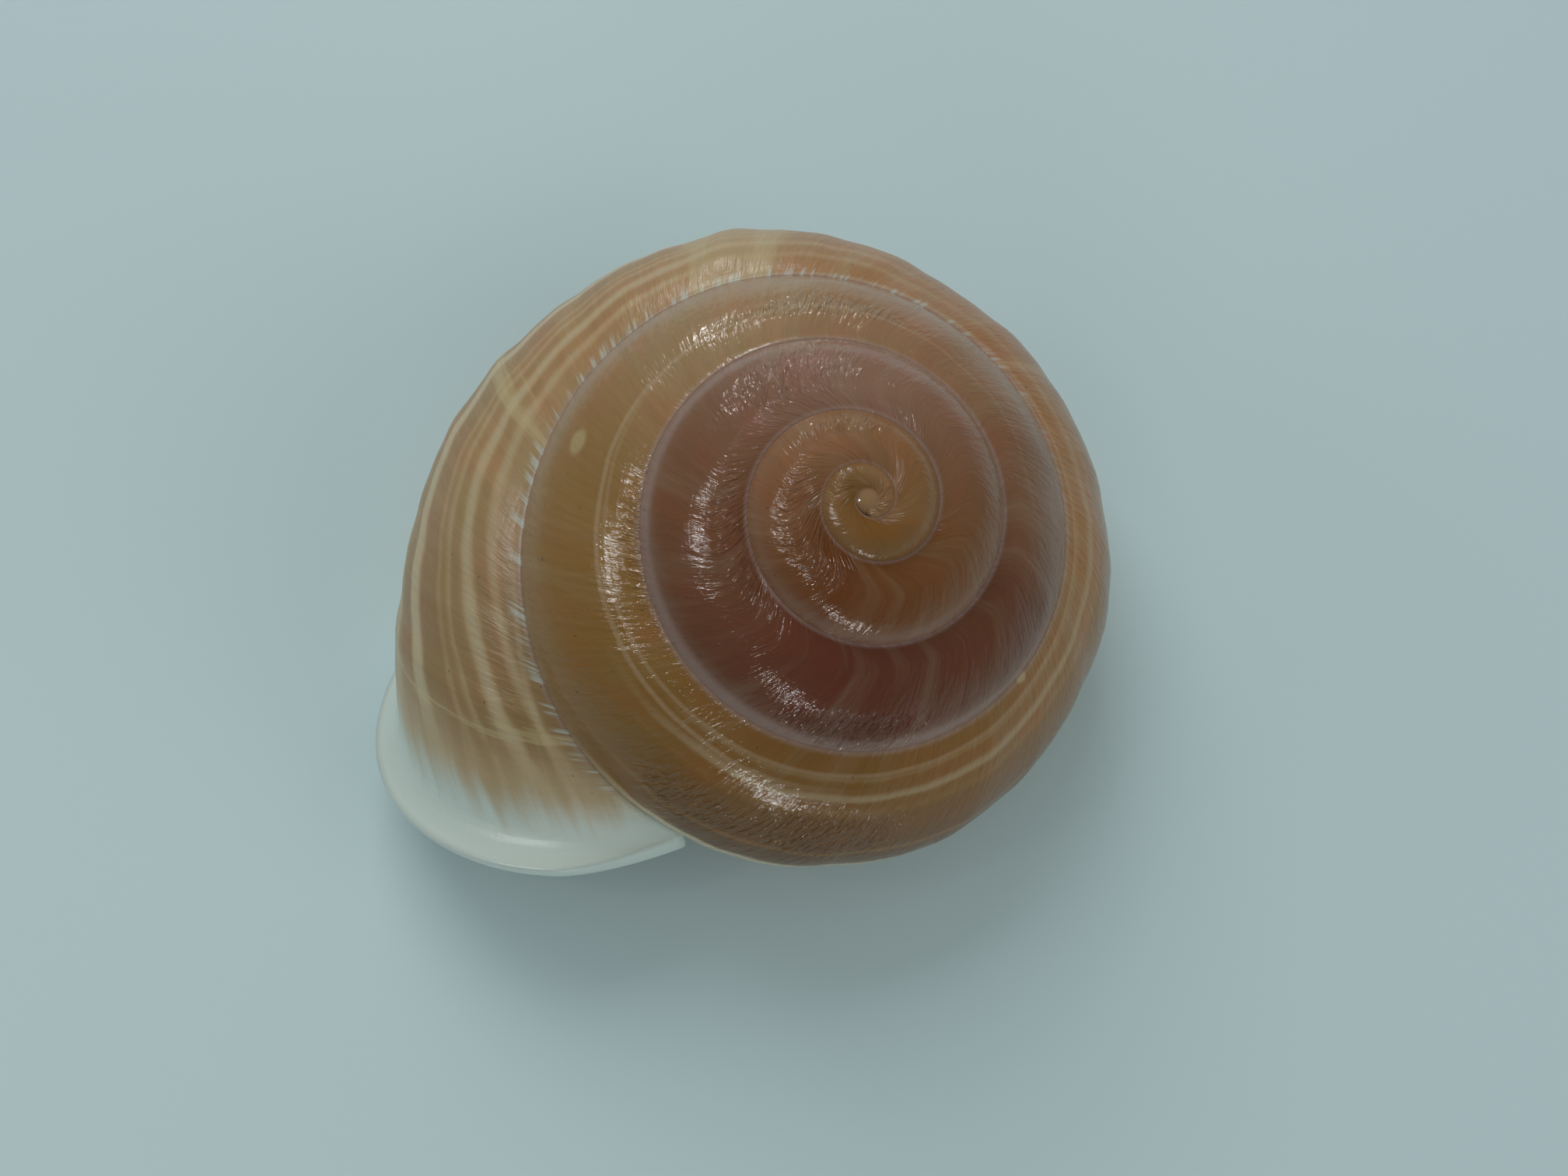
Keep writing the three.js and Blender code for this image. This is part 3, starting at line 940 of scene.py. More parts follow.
class Graph:
    """Short names for the shader nodes that the finishes are built of."""

    def __init__(self, material: bpy.types.Material) -> None:
        """Starts an empty graph for material.

        Args:
            material: the material whose nodes are made afresh.
        """
        material.use_nodes = True
        self.tree = material.node_tree
        self.tree.nodes.clear()

    def node(self, kind: str, **settings: object) -> bpy.types.Node:
        """A new node with its settings.

        Args:
            kind: the node's type.
            settings: its properties.
        Returns:
            The node.
        """
        made = self.tree.nodes.new(kind)
        for key, value in settings.items():
            setattr(made, key, value)
        return made

    def put(self, socket: Socket, value: object) -> None:
        """Links value to the socket, or sets it there if it is a number or a colour.

        Args:
            socket: an input.
            value: an output, a number or a colour.
        """
        if isinstance(value, Socket):
            self.tree.links.new(value, socket)
        elif isinstance(value, tuple) and len(value) == 3 and socket.type == "RGBA":
            socket.default_value = (*value, 1.0)
        else:
            socket.default_value = value

    def read(self, name: str) -> Socket:
        """One of the surface's measures."""
        return self.node("ShaderNodeAttribute", attribute_name=name).outputs["Fac"]

    def calc(self, operation: str, *values: object) -> Socket:
        """A Math node.

        Args:
            operation: what the node works out.
            values: its inputs, outputs of other nodes or numbers.
        Returns:
            The result.
        """
        made = self.node("ShaderNodeMath", operation=operation)
        for socket, value in zip(made.inputs, values):
            self.put(socket, value)
        return made.outputs[0]

    def fade(self, value: object, low: float, high: float, to: tuple[float, float] = (0.0, 1.0)) -> Socket:
        """A smooth step of value from low to high.

        Args:
            value: what is read.
            low: where the step starts.
            high: where it ends.
            to: values before and after it.
        Returns:
            The result.
        """
        made = self.node("ShaderNodeMapRange", interpolation_type="SMOOTHSTEP")
        for socket, part in zip(made.inputs, (value, low, high, *to)):
            self.put(socket, part)
        return made.outputs[0]

    def change(self, value: object, change: Change) -> Socket:
        """A change along value."""
        return self.fade(value, change.start, change.stop, (change.before, change.after))

    def changes(self, value: object, steps: Sequence[Change]) -> Socket:
        """The sum of several changes along value.

        Args:
            value: what is read.
            steps: the changes.
        Returns:
            The sum.
        """
        total = self.change(value, steps[0])
        for step in steps[1:]:
            total = self.plus(total, self.change(value, step))
        return total

    def hump(self, value: object, middle: float, half: float, soft: float) -> Socket:
        """1 within half of middle, falling smoothly to 0 over soft."""
        far = self.calc("ABSOLUTE", self.calc("SUBTRACT", value, middle))
        return self.fade(far, half + soft, half)

    def times(self, *values: object) -> Socket:
        """The product of values.

        Args:
            values: outputs or numbers.
        Returns:
            The result.
        """
        product = values[0]
        for value in values[1:]:
            product = self.calc("MULTIPLY", product, value)
        return product

    def plus(self, *values: object) -> Socket:
        """The sum of values.

        Args:
            values: outputs or numbers.
        Returns:
            The result.
        """
        total = values[0]
        for value in values[1:]:
            total = self.calc("ADD", total, value)
        return total

    def far(self, x: object, y: object) -> Socket:
        """The root of the sum of the squares of x and y."""
        return self.calc("SQRT", self.plus(self.times(x, x), self.times(y, y)))

    def vector(self, x: object, y: object, z: object = 0.0) -> Socket:
        """A vector of three values.

        Args:
            x: first value.
            y: second value.
            z: third value.
        Returns:
            The vector.
        """
        made = self.node("ShaderNodeCombineXYZ")
        for socket, value in zip(made.inputs, (x, y, z)):
            self.put(socket, value)
        return made.outputs[0]

    def noise(self, vector: Socket, detail: float = 3.0, rough: float = 0.55, scale: float = 1.0) -> Socket:
        """Noise of about 0 to 1 at a place.

        Args:
            vector: the place.
            detail: how many finer layers it has.
            rough: how strong they are.
            scale: waves in a unit.
        Returns:
            The noise.
        """
        made = self.node("ShaderNodeTexNoise")
        for key, value in (("Vector", vector), ("Scale", scale), ("Detail", detail), ("Roughness", rough)):
            self.put(made.inputs[key], value)
        return made.outputs["Fac"]

    def ramp(self, value: object, stops: Sequence[tuple[float, Colour]], low: float, high: float) -> Socket:
        """A colour ramp over low to high; each stop is a place in that range and its colour.

        Args:
            value: what is read.
            stops: places and colours.
            low: start of the range.
            high: end of it.
        Returns:
            The colour.
        """
        made = self.node("ShaderNodeValToRGB")
        self.put(made.inputs[0], self.fade_linear(value, low, high))
        elements = made.color_ramp.elements
        while len(elements) < len(stops):
            elements.new(0.5)
        for element, (place, colour) in zip(elements, sorted(stops)):
            element.position = (place - low) / (high - low)
            element.color = (*colour, 1.0)
        return made.outputs[0]

    def profile(self, angle: Socket, stops: Sequence[tuple[float, float]]) -> Socket:
        """A plain number for each angle of the section, from stops in degrees.

        Args:
            angle: section angle in degrees.
            stops: angles and numbers.
        Returns:
            The number.
        """
        colour = self.ramp(angle, [(place, (v, v, v)) for place, v in stops], -180.0, 90.0)
        made = self.node("ShaderNodeSeparateColor")
        self.put(made.inputs[0], colour)
        return made.outputs[0]

    def fade_linear(self, value: object, low: float, high: float) -> Socket:
        """value from low to high as 0 to 1, straight.

        Args:
            value: what is read.
            low: where it is 0.
            high: where it is 1.
        Returns:
            The result, held at 0 and 1 outside.
        """
        made = self.node("ShaderNodeMapRange")
        for socket, part in zip(made.inputs, (value, low, high, 0.0, 1.0)):
            self.put(socket, part)
        return made.outputs[0]

    def mix(self, share: object, first: object, second: object, blend: str = "MIX") -> Socket:
        """Colour first turned into second by share.

        Args:
            share: 0 for the first colour, 1 for the second.
            first: a colour.
            second: a colour.
            blend: how the second is laid over the first.
        Returns:
            The colour.
        """
        made = self.node("ShaderNodeMix", data_type="RGBA", blend_type=blend)
        self.put(made.inputs[0], share)
        self.put(made.inputs[6], first)
        self.put(made.inputs[7], second)
        return made.outputs[2]

    def between(self, share: object, first: object, second: object) -> Socket:
        """A number between first and second."""
        return self.plus(self.times(first, self.calc("SUBTRACT", 1.0, share)), self.times(second, share))

    def centred(self, value: object) -> Socket:
        """value less a half."""
        return self.calc("SUBTRACT", value, 0.5)

    def grey(self, value: object) -> Socket:
        """A grey of that value.

        Args:
            value: its brightness.
        Returns:
            The colour.
        """
        made = self.node("ShaderNodeCombineColor")
        for socket in made.inputs[:3]:
            self.put(socket, value)
        return made.outputs[0]

    def bump(self, height: Socket, distance: float, normal: object = None) -> Socket:
        """A bump over another normal, which stands out by height times distance.

        Args:
            height: its height.
            distance: metres.
            normal: the normal under it, if it isn't the plain one.
        Returns:
            The normal.
        """
        made = self.node("ShaderNodeBump")
        self.put(made.inputs["Strength"], 1.0)
        self.put(made.inputs["Distance"], distance)
        self.put(made.inputs["Height"], height)
        if normal is not None:
            self.put(made.inputs["Normal"], normal)
        return made.outputs[0]


def srgb(r: int, g: int, b: int) -> Colour:
    """An 8-bit display colour as linear light.

    Args:
        r: red, 0 to 255.
        g: green.
        b: blue.
    Returns:
        Three channels, 0 to 1.
    """

    def one(v: int) -> float:
        """One channel: straight near black, a power of 2.4 above."""
        c = v / 255
        return c / 12.92 if c <= 0.04045 else ((c + 0.055) / 1.055) ** 2.4

    return one(r), one(g), one(b)


@dataclass(frozen=True)
class Grain:
    """Noise drawn out over the skin.

    line and around are waves in a millimetre along the coil and around the section. layer is the
    slice of the noise, so that two patterns don't agree. detail is the number of finer layers in
    it, and rough is how strong they are.
    """

    line: float
    around: float
    layer: float = 0.0
    detail: float = 3.0
    rough: float = 0.55


class Skin:
    """What a finish reads of the surface: its measures, and noises drawn out along the growth lines."""

    def __init__(self, g: Graph) -> None:
        """Reads everything once into the graph g.

        Args:
            g: the graph of the finish.
        """
        self.g = g
        self.turn, self.phi, self.line, self.line_turn = (g.read(key) for key in MEASURES[:4])
        self.edge, self.suture, self.cover, self.around = (g.read(key) for key in MEASURES[4:8])
        self.inner, self.callus = (g.read(key) for key in MEASURES[8:])
        self.fine = self.streaked(0.55, 14.0, 3.0)
        self.middle = self.streaked(2.2, 6.0, 11.0)
        self.broad = self.streaked(7.0, 3.0, 23.0)

    def grain(self, grain: Grain) -> Socket:
        """Noise over the skin.

        Args:
            grain: how it is drawn out.
        Returns:
            About 0 to 1.
        """
        g = self.g
        place = g.vector(g.times(self.line, grain.line), g.times(self.around, grain.around), grain.layer)
        return g.noise(place, grain.detail, grain.rough)

    def streaked(self, pitch: float, stretch: float, layer: float) -> Socket:
        """Noise of that pitch across the growth lines in millimetres, and stretch times as long."""
        return self.grain(Grain(1 / pitch, 1 / (pitch * stretch), layer, 4.0, 0.6))


@dataclass(frozen=True)
class Rest:
    """A pale streak where growth rested: its place and half width in turns, and how strong it is."""

    turn: float
    half: float
    strength: float


@dataclass(frozen=True)
class Spot:
    """A pale scar: its place (turns, section degrees) and half sizes in millimetres."""

    turn: float
    phi: float
    long: float
    wide: float


@dataclass(frozen=True)
class Crumple:
    """A patch of crumpled skin: its middle and half sizes in turns and section degrees."""

    turn: float
    phi: float
    along: float
    across: float
    strength: float = 1.0


@dataclass(frozen=True)
class ShellFinish:
    """The shell's glossy skin: brown and golden ground with painted shade on each whorl's lower side and
    painted light on its upper side, pale and dark spiral bands, white lip.
    """

    cream: Colour = srgb(214, 200, 164)
    pale_line: Colour = srgb(226, 206, 176)
    lilac: Colour = srgb(176, 154, 146)
    bone: Colour = srgb(180, 164, 142)
    white: Colour = srgb(214, 228, 219)
    streak: Colour = srgb(212, 196, 146)
    amber: Colour = srgb(196, 138, 74)
    amber_dark: Colour = srgb(150, 88, 48)
    throat: Colour = srgb(222, 214, 188)
    callus: Colour = srgb(128, 100, 92)
    tan: Colour = srgb(196, 160, 112)
    speck: Colour = srgb(70, 38, 22)
    dark_tint: Colour = (0.50, 0.43, 0.40)
    refraction: float = 1.46
    # the bands: how strong they are, where the front's set takes over, and how they sink at the lip
    ground_wander: float = 0.09
    band_power: tuple[Change, ...] = (
        Change(-1.12, -0.98), Change(-0.78, -0.60, 0.0, -0.5), Change(-0.46, -0.30, 0.0, 0.36),
    )
    bands_by_lip: Change = Change(5.0, 24.0)
    band_evenness: tuple[float, float] = (0.72, 0.56)
    front_set: Change = Change(-0.62, -0.36)
    sinking: Change = Change(-0.23, -0.03, 0.0, -14.0)
    blotches: Change = Change(-0.75, -0.45, 0.22, 0.5)
    blotches_by_lip: Change = Change(4.0, 20.0)
    # noises of the colour: the bands' wander, patches of hue, ticks that the rays take, specks, the film
    wander: Grain = Grain(0.12, 0.4)
    hue_patches: Grain = Grain(0.22, 0.30, 61.0, 3.0, 0.6)
    ticks: Grain = Grain(2.3, 0.12, 17.0)
    speckling: Grain = Grain(2.3, 2.3, 31.0, 1.0)
    film_mottle: Grain = Grain(0.3, 0.3)
    # noises of the gloss and the relief
    gloss_mottle: Grain = Grain(0.9, 0.5)
    growth_lines: Grain = Grain(2.6, 0.16, 1.0, 5.0, 0.65)
    striae: Grain = Grain(0.12, 3.4, 5.0, 3.0, 0.6)
    crumpled: Grain = Grain(2.5, 0.95, 2.0, 2.0, 0.5)
    # ragged ends and stains of the lip: waves in a millimetre around the section, then along the coil
    fingers: tuple[float, float] = (0.9, 0.06)
    staining: tuple[float, float] = (0.5, 0.5)
    stain_layer: float = 47.0
    stain_detail: float = 2.0
    # brightness: a constant, and shares of the fine and middle streaks
    shade: tuple[float, float, float] = (0.74, 0.28, 0.24)
    # two thin pale lines; the upper one drifts down as the whorl grows
    upper_line: float = 71.0
    upper_drift: tuple[float, float, float] = (-1.95, -1.0, -15.0)
    upper_edge: Change = Change(1.6, 0.2)
    upper_shown: tuple[Change, Change] = (Change(-1.75, -1.3), Change(-0.9, -1.02))
    upper_strength: float = 0.20
    lower_line: float = 62.0
    lower_edge: Change = Change(1.3, 0.3)
    lower_shown: Change = Change(-1.4, -1.1)
    lower_strength: float = 0.16
    # bone and lilac edges above the next whorl, and the pale fringe below the seam
    bone_edge: Change = Change(1.9, 0.2)
    bone_strength: Change = Change(-2.2, -1.7, 0.10, 0.30)
    lilac_edge: Change = Change(1.15, 0.5)
    lilac_shown: tuple[Change, Change] = (Change(-3.4, -2.3), Change(-1.0, -1.6))
    lilac_strength: float = 0.36
    fringe_width: Change = Change(-4.5, -1.0, 0.4, 1.0)
    fringe_edge: Change = Change(0.55, 0.05)
    fringe_strength: tuple[float, float] = (0.20, 0.62)
    # rests: how ragged they are, in turns, and how sharp
    raggedness: tuple[float, float] = (0.034, 0.016)
    rest_core: float = 0.3
    rest_least: float = 0.4
    # white rays below the seam: their length in millimetres, and where they show
    ray_length: tuple[float, float] = (0.35, 1.5)
    ray_end: Change = Change(1.0, 0.4)
    ray_width: Change = Change(0.50, 0.64)
    rays_shown: Change = Change(-0.80, -0.40)
    ray_strength: float = 0.5
    # scars: reach from the axis and size of the section where they lie, in millimetres
    scar_reach: float = 15.0
    scar_section: float = 9.0
    scar_edge: Change = Change(1.3, 0.6)
    scar_strength: float = 0.45
    specks: Change = Change(0.74, 0.80)
    speck_strength: float = 0.55
    # the lip, in degrees of growth behind its edge
    lip_cream: Change = Change(24.0, 7.0, 0.0, 0.55)
    lip_white: Change = Change(12.0, 2.5)
    stains: Change = Change(0.60, 0.70)
    stains_by_lip: Change = Change(9.0, 2.0)
    stains_below: Change = Change(0.0, -25.0)
    stain_strength: float = 0.6
    # the inside
    inner_bands: Change = Change(0.3, 0.7)
    inner_strength: float = 0.45
    throat_pale: Change = Change(30.0, 6.0)
    inside_from: Change = Change(0.55, 0.95)
    # roughness: of the early whorls, what the last half whorl adds, and the mottle
    gloss: float = 0.08
    satin: Change = Change(-0.75, -0.35, 0.0, 0.20)
    mottle: float = 0.12
    # crumpling: along the coil, by the lip, and the edge of a patch
    crumpling: Change = Change(-0.62, -0.40, 0.24, 0.14)
    crumpling_by_lip: Change = Change(6.0, 25.0, 0.3, 1.0)
    patch_edge: tuple[float, float] = (1.25, 0.5)
    # depths of the fine relief, in millimetres
    growth_depth: float = 0.04
    striae_depth: float = 0.02
    crumple_depth: float = 0.32
    # how far the bands wander, in degrees of section, and their ends at the lip, in degrees of growth
    band_wander: float = 3.0
    ragged_ends: float = 11.0
    rests: tuple[Rest, ...] = (
        Rest(-0.362, 0.030, 0.34), Rest(-0.385, 0.008, 0.34), Rest(-0.345, 0.006, 0.30),
        Rest(-0.215, 0.007, 0.45), Rest(-0.55, 0.006, 0.2),
        Rest(-0.062, 0.003, 0.35),
    )
    spots: tuple[Spot, ...] = (Spot(-1.233, 43.0, 0.75, 0.6), Spot(-0.79, 68.0, 0.4, 0.35))
    crumples: tuple[Crumple, ...] = (
        Crumple(-0.935, 33.0, 0.045, 14.0, 1.9), Crumple(-1.01, 29.0, 0.035, 12.0, 1.9),
        Crumple(-1.93, 41.0, 0.06, 12.0, 2.0), Crumple(-1.42, 61.0, 0.08, 6.0),
        Crumple(-1.15, 76.0, 0.07, 8.0), Crumple(-2.36, 66.0, 0.08, 22.0),
        Crumple(-2.14, 84.0, 0.09, 12.0), Crumple(-3.12, 88.0, 0.18, 26.0),
        Crumple(-3.38, 66.0, 0.09, 18.0), Crumple(-4.25, 84.0, 0.12, 34.0),
        Crumple(-4.75, 96.0, 0.25, 30.0),
    )
    # ground tone along the coil, in turns behind the lip: the shell's own colour, with painted shade on each
    # whorl's lower side (near -3.9, -3.0, -1.95, -0.95) and painted light on its upper side (near -3.35,
    # -2.4, -1.36, -0.35)
    ground_range: tuple[float, float] = (-5.0, 0.0)
    ground_with_painted_light: tuple[tuple[float, Colour], ...] = (
        (-4.95, srgb(160, 122, 78)),
        (-4.5, srgb(150, 108, 58)),
        (-3.9, srgb(134, 90, 34)),
        (-3.65, srgb(146, 102, 56)),
        (-3.35, srgb(160, 114, 76)),
        (-3.0, srgb(118, 64, 18)),
        (-2.75, srgb(128, 82, 40)),
        (-2.4, srgb(160, 120, 98)),
        (-2.2, srgb(128, 84, 54)),
        (-1.95, srgb(106, 50, 25)),
        (-1.75, srgb(112, 66, 38)),
        (-1.5, srgb(167, 125, 90)),
        (-1.36, srgb(178, 144, 104)),
        (-1.15, srgb(150, 110, 52)),
        (-0.95, srgb(134, 92, 37)),
        (-0.7, srgb(168, 122, 70)),
        (-0.55, srgb(176, 121, 74)),
        (-0.35, srgb(190, 148, 98)),
        (-0.2, srgb(187, 154, 108)),
        (-0.08, srgb(158, 126, 80)),
    )
    # slow change of hue: olive, plain, reddish
    hue_range: tuple[float, float] = (0.2, 0.8)
    hues: tuple[tuple[float, Colour], ...] = (
        (0.3, (0.95, 0.99, 0.90)), (0.5, (1.0, 1.0, 1.0)), (0.7, (1.08, 0.95, 0.93)),
    )
    # how dark the bands are across the section: 0 pale, 0.5 ground, 1 dark
    body_bands: tuple[tuple[float, float], ...] = (
        (-95, 0.5), (-86, 0.14), (-76, 0.12), (-72, 0.6), (-54, 0.62), (-49, 0.14), (-43, 0.12), (-41, 0.78),
        (-31, 0.74), (-29, 0.14), (-24, 0.12), (-22, 0.55), (-6, 0.55), (-3, 0.04), (6, 0.04), (10, 0.88),
        (20, 0.88), (22, 0.4), (24, 0.8), (43, 0.66), (45.5, 0.48), (50.4, 0.52), (52, 0.34), (53.4, 0.34),
        (55.4, 0.5), (59, 0.5), (60.5, 0.42), (62, 0.5),
    )
    front_bands: tuple[tuple[float, float], ...] = (
        (-100, 0.5), (-70, 0.35), (-50, 0.6), (-35, 0.3), (-20, 0.6), (-6, 0.2), (4, 0.15), (8, 0.65),
        (15, 0.7), (17, 0.12), (21, 0.12), (23, 0.7), (30, 0.68), (31.5, 0.38), (33.5, 0.68), (36, 0.34),
        (37.5, 0.62), (40, 0.6), (42, 0.2), (44, 0.2), (46, 0.64), (49, 0.6), (50.5, 0.32),
        (52, 0.32), (54, 0.6), (62, 0.58), (68, 0.45),
    )

    def make(self) -> bpy.types.Material:
        """Builds the material.

        Returns:
            The material.
        """
        material = bpy.data.materials.new("glossy_banded_shell")
        g = Graph(material)
        skin = Skin(g)
        colour = self.outside_colour(skin)
        colour = self.marks(skin, colour)
        colour = self.lip_colour(skin, colour)
        colour = self.inside_colour(skin, colour)
        shader = g.node("ShaderNodeBsdfPrincipled")
        g.put(shader.inputs["Base Color"], colour)
        g.put(shader.inputs["Roughness"], self.roughness(skin))
        shader.inputs["IOR"].default_value = self.refraction
        g.put(shader.inputs["Normal"], self.normal(skin))
        output = g.node("ShaderNodeOutputMaterial")
        g.put(output.inputs["Surface"], shader.outputs[0])
        return material

    def outside_colour(self, k: Skin) -> Socket:
        """Ground tone along the coil, with painted shade on each whorl's lower side and painted light on its
        upper side; spiral bands over it, growth streaks and pale seams.

        Args:
            k: the skin's measures.
        Returns:
            The colour.
        """
        g = k.g
        way = g.plus(k.turn, g.times(g.centred(k.broad), self.ground_wander))
        # painted shade and light: this ramp darkens the lower side of each whorl and lightens its upper
        # side, over the shell's own ground colour
        ground_with_painted_light = g.ramp(way, self.ground_with_painted_light, *self.ground_range)
        hue = k.grain(self.hue_patches)
        wander = g.times(g.centred(k.grain(self.wander)), self.band_wander)
        drift = g.plus(k.phi, wander)
        body = g.profile(drift, self.body_bands)
        front = g.profile(g.plus(drift, g.change(k.turn, self.sinking)), self.front_bands)
        banding = g.between(g.change(k.turn, self.front_set), body, front)
        power = g.changes(k.turn, self.band_power)
        least, more = self.band_evenness
        even = g.change(k.edge, self.bands_by_lip), g.plus(least, g.times(k.middle, more))
        power = g.times(power, *even)
        tone = g.times(g.centred(banding), power)
        patch = g.times(g.centred(k.middle), g.change(k.turn, self.blotches))
        tone = g.plus(tone, g.times(patch, g.change(k.edge, self.blotches_by_lip)))
        ground_with_painted_light = g.mix(1.0, ground_with_painted_light, g.ramp(hue, self.hues, *self.hue_range), "MULTIPLY")
        dark = g.mix(1.0, ground_with_painted_light, self.dark_tint, "MULTIPLY")
        colour = g.mix(g.fade_linear(tone, 0.0, -0.5), ground_with_painted_light, self.cream)
        colour = g.mix(g.fade_linear(tone, 0.0, 0.5), colour, dark)
        colour = self.early_lines(k, colour)
        least, fine, middle = self.shade
        shade = g.plus(least, g.times(k.fine, fine), g.times(k.middle, middle))
        return g.mix(1.0, colour, g.grey(shade), "MULTIPLY")

    def early_lines(self, k: Skin, colour: Socket) -> Socket:
        """Thin pale spiral lines of the earlier whorls, and the lilac edges beside the seams.

        Args:
            k: the skin's measures.
            colour: the colour so far.
        Returns:
            The colour with the lines and edges.
        """
        g = k.g
        start, stop, down = self.upper_drift
        place = g.plus(self.upper_line, g.times(g.fade_linear(k.turn, start, stop), down))
        near = g.calc("ABSOLUTE", g.calc("SUBTRACT", k.phi, place))
        shown = g.times(*(g.change(k.turn, part) for part in self.upper_shown))
        share = g.times(g.change(near, self.upper_edge), shown, self.upper_strength)
        colour = g.mix(share, colour, self.pale_line)
        near = g.calc("ABSOLUTE", g.calc("SUBTRACT", k.phi, self.lower_line))
        shown = g.change(near, self.lower_edge), g.change(k.turn, self.lower_shown)
        colour = g.mix(g.times(*shown, self.lower_strength), colour, self.pale_line)
        bone = g.times(g.change(k.cover, self.bone_edge), g.change(k.turn, self.bone_strength))
        colour = g.mix(bone, colour, self.bone)
        shown = (g.change(k.turn, part) for part in self.lilac_shown)
        border = g.times(g.change(k.cover, self.lilac_edge), *shown, self.lilac_strength)
        colour = g.mix(border, colour, self.lilac)
        near = g.calc("DIVIDE", k.suture, g.change(k.turn, self.fringe_width))
        least, streaked = self.fringe_strength
        fringe = g.times(g.change(near, self.fringe_edge), g.plus(least, g.times(k.fine, streaked)))
        return g.mix(fringe, colour, self.lilac)

    def marks(self, k: Skin, colour: Socket) -> Socket:
        """Yellow-white rests of growth, short white rays below the seam, two pale scars, dark specks.

        Args:
            k: the skin's measures.
            colour: the colour so far.
        Returns:
            The colour with the marks.
        """
        g = k.g
        broad, fine = self.raggedness
        ragged = g.plus(k.line_turn, g.times(g.centred(k.middle), broad), g.times(g.centred(k.fine), fine))
        for rest in self.rests:
            streak = g.hump(ragged, rest.turn, rest.half * self.rest_core, rest.half)
            share = g.times(streak, rest.strength, g.plus(self.rest_least, k.broad))
            colour = g.mix(share, colour, self.streak)
        tick = k.grain(self.ticks)
        least, more = self.ray_length
        below = g.change(g.calc("DIVIDE", k.suture, g.plus(least, g.times(k.middle, more))), self.ray_end)
        shown = g.change(tick, self.ray_width), below, g.change(k.turn, self.rays_shown)
        rays = g.times(*shown, self.ray_strength)
        colour = g.mix(rays, colour, self.white)
        for spot in self.spots:
            along = g.times(g.calc("SUBTRACT", k.turn, spot.turn), TURN * self.scar_reach / spot.long)
            across = g.times(g.calc("SUBTRACT", k.phi, spot.phi), self.scar_section * DEG / spot.wide)
            scar = g.change(g.far(along, across), self.scar_edge)
            colour = g.mix(g.times(scar, self.scar_strength), colour, self.streak)
        speck = k.grain(self.speckling)
        return g.mix(g.times(g.change(speck, self.specks), self.speck_strength), colour, self.speck)

    def lip_colour(self, k: Skin, colour: Socket) -> Socket:
        """Cream towards the lip, then white, with ragged ends of the bands and a few tan stains.

        Args:
            k: the skin's measures.
            colour: the colour so far.
        Returns:
            The colour with the lip.
        """
        g = k.g
        around, line = self.fingers
        finger = g.noise(g.vector(g.times(k.around, around), g.times(k.line, line)))
        place = g.plus(k.edge, g.times(g.centred(finger), self.ragged_ends))
        colour = g.mix(g.change(place, self.lip_cream), colour, self.cream)
        colour = g.mix(g.change(place, self.lip_white), colour, self.white)
        around, line = self.staining
        where = g.vector(g.times(k.around, around), g.times(k.line, line), self.stain_layer)
        stain = g.noise(where, self.stain_detail)
        shown = g.change(stain, self.stains), g.change(k.edge, self.stains_by_lip)
        near = g.times(*shown, g.change(k.phi, self.stains_below))
        return g.mix(g.times(near, self.stain_strength), colour, self.tan)

    def inside_colour(self, k: Skin, colour: Socket) -> Socket:
        """Amber throat with the bands showing through, cream behind the lip, lilac-brown callus.

        Args:
            k: the skin's measures.
            colour: the colour of the outside.
        Returns:
            The colour of both sides.
        """
        g = k.g
        bands = g.profile(k.phi, self.front_bands)
        share = g.times(g.change(bands, self.inner_bands), self.inner_strength)
        deep = g.mix(share, self.amber, self.amber_dark)
        deep = g.mix(g.change(k.edge, self.throat_pale), deep, self.throat)
        film = g.mix(k.grain(self.film_mottle), self.callus, self.lilac)
        deep = g.mix(k.callus, deep, film)
        return g.mix(g.change(k.inner, self.inside_from), colour, deep)

    def roughness(self, k: Skin) -> Socket:
        """Glossy on the early whorls, satin on the last half whorl, with a slow mottle.

        Args:
            k: the skin's measures.
        Returns:
            The roughness.
        """
        g = k.g
        base = g.plus(self.gloss, g.change(k.turn, self.satin))
        return g.plus(base, g.times(k.grain(self.gloss_mottle), self.mottle))

    def normal(self, k: Skin) -> Socket:
        """Fine growth lines, spiral striae, and skin crumpled across the growth lines.

        The crumpling is a ridged noise drawn out along the growth lines, in patches; it is strong on
        the early whorls and fades on the last half whorl and towards the lip.

        Args:
            k: the skin's measures.
        Returns:
            The normal.
        """
        g = k.g
        growth = k.grain(self.growth_lines)
        striae = k.grain(self.striae)
        wave = k.grain(self.crumpled)
        strong = g.times(g.change(k.turn, self.crumpling), g.change(k.edge, self.crumpling_by_lip))
        start, stop = self.patch_edge
        for patch in self.crumples:
            x = g.times(g.calc("SUBTRACT", k.turn, patch.turn), 1 / patch.along)
            y = g.times(g.calc("SUBTRACT", k.phi, patch.phi), 1 / patch.across)
            strong = g.plus(strong, g.fade(g.far(x, y), start, stop, (0.0, patch.strength)))
        normal = g.bump(growth, self.growth_depth * MM)
        normal = g.bump(striae, self.striae_depth * MM, normal)
        return g.bump(g.times(g.centred(wave), strong), self.crumple_depth * MM, normal)


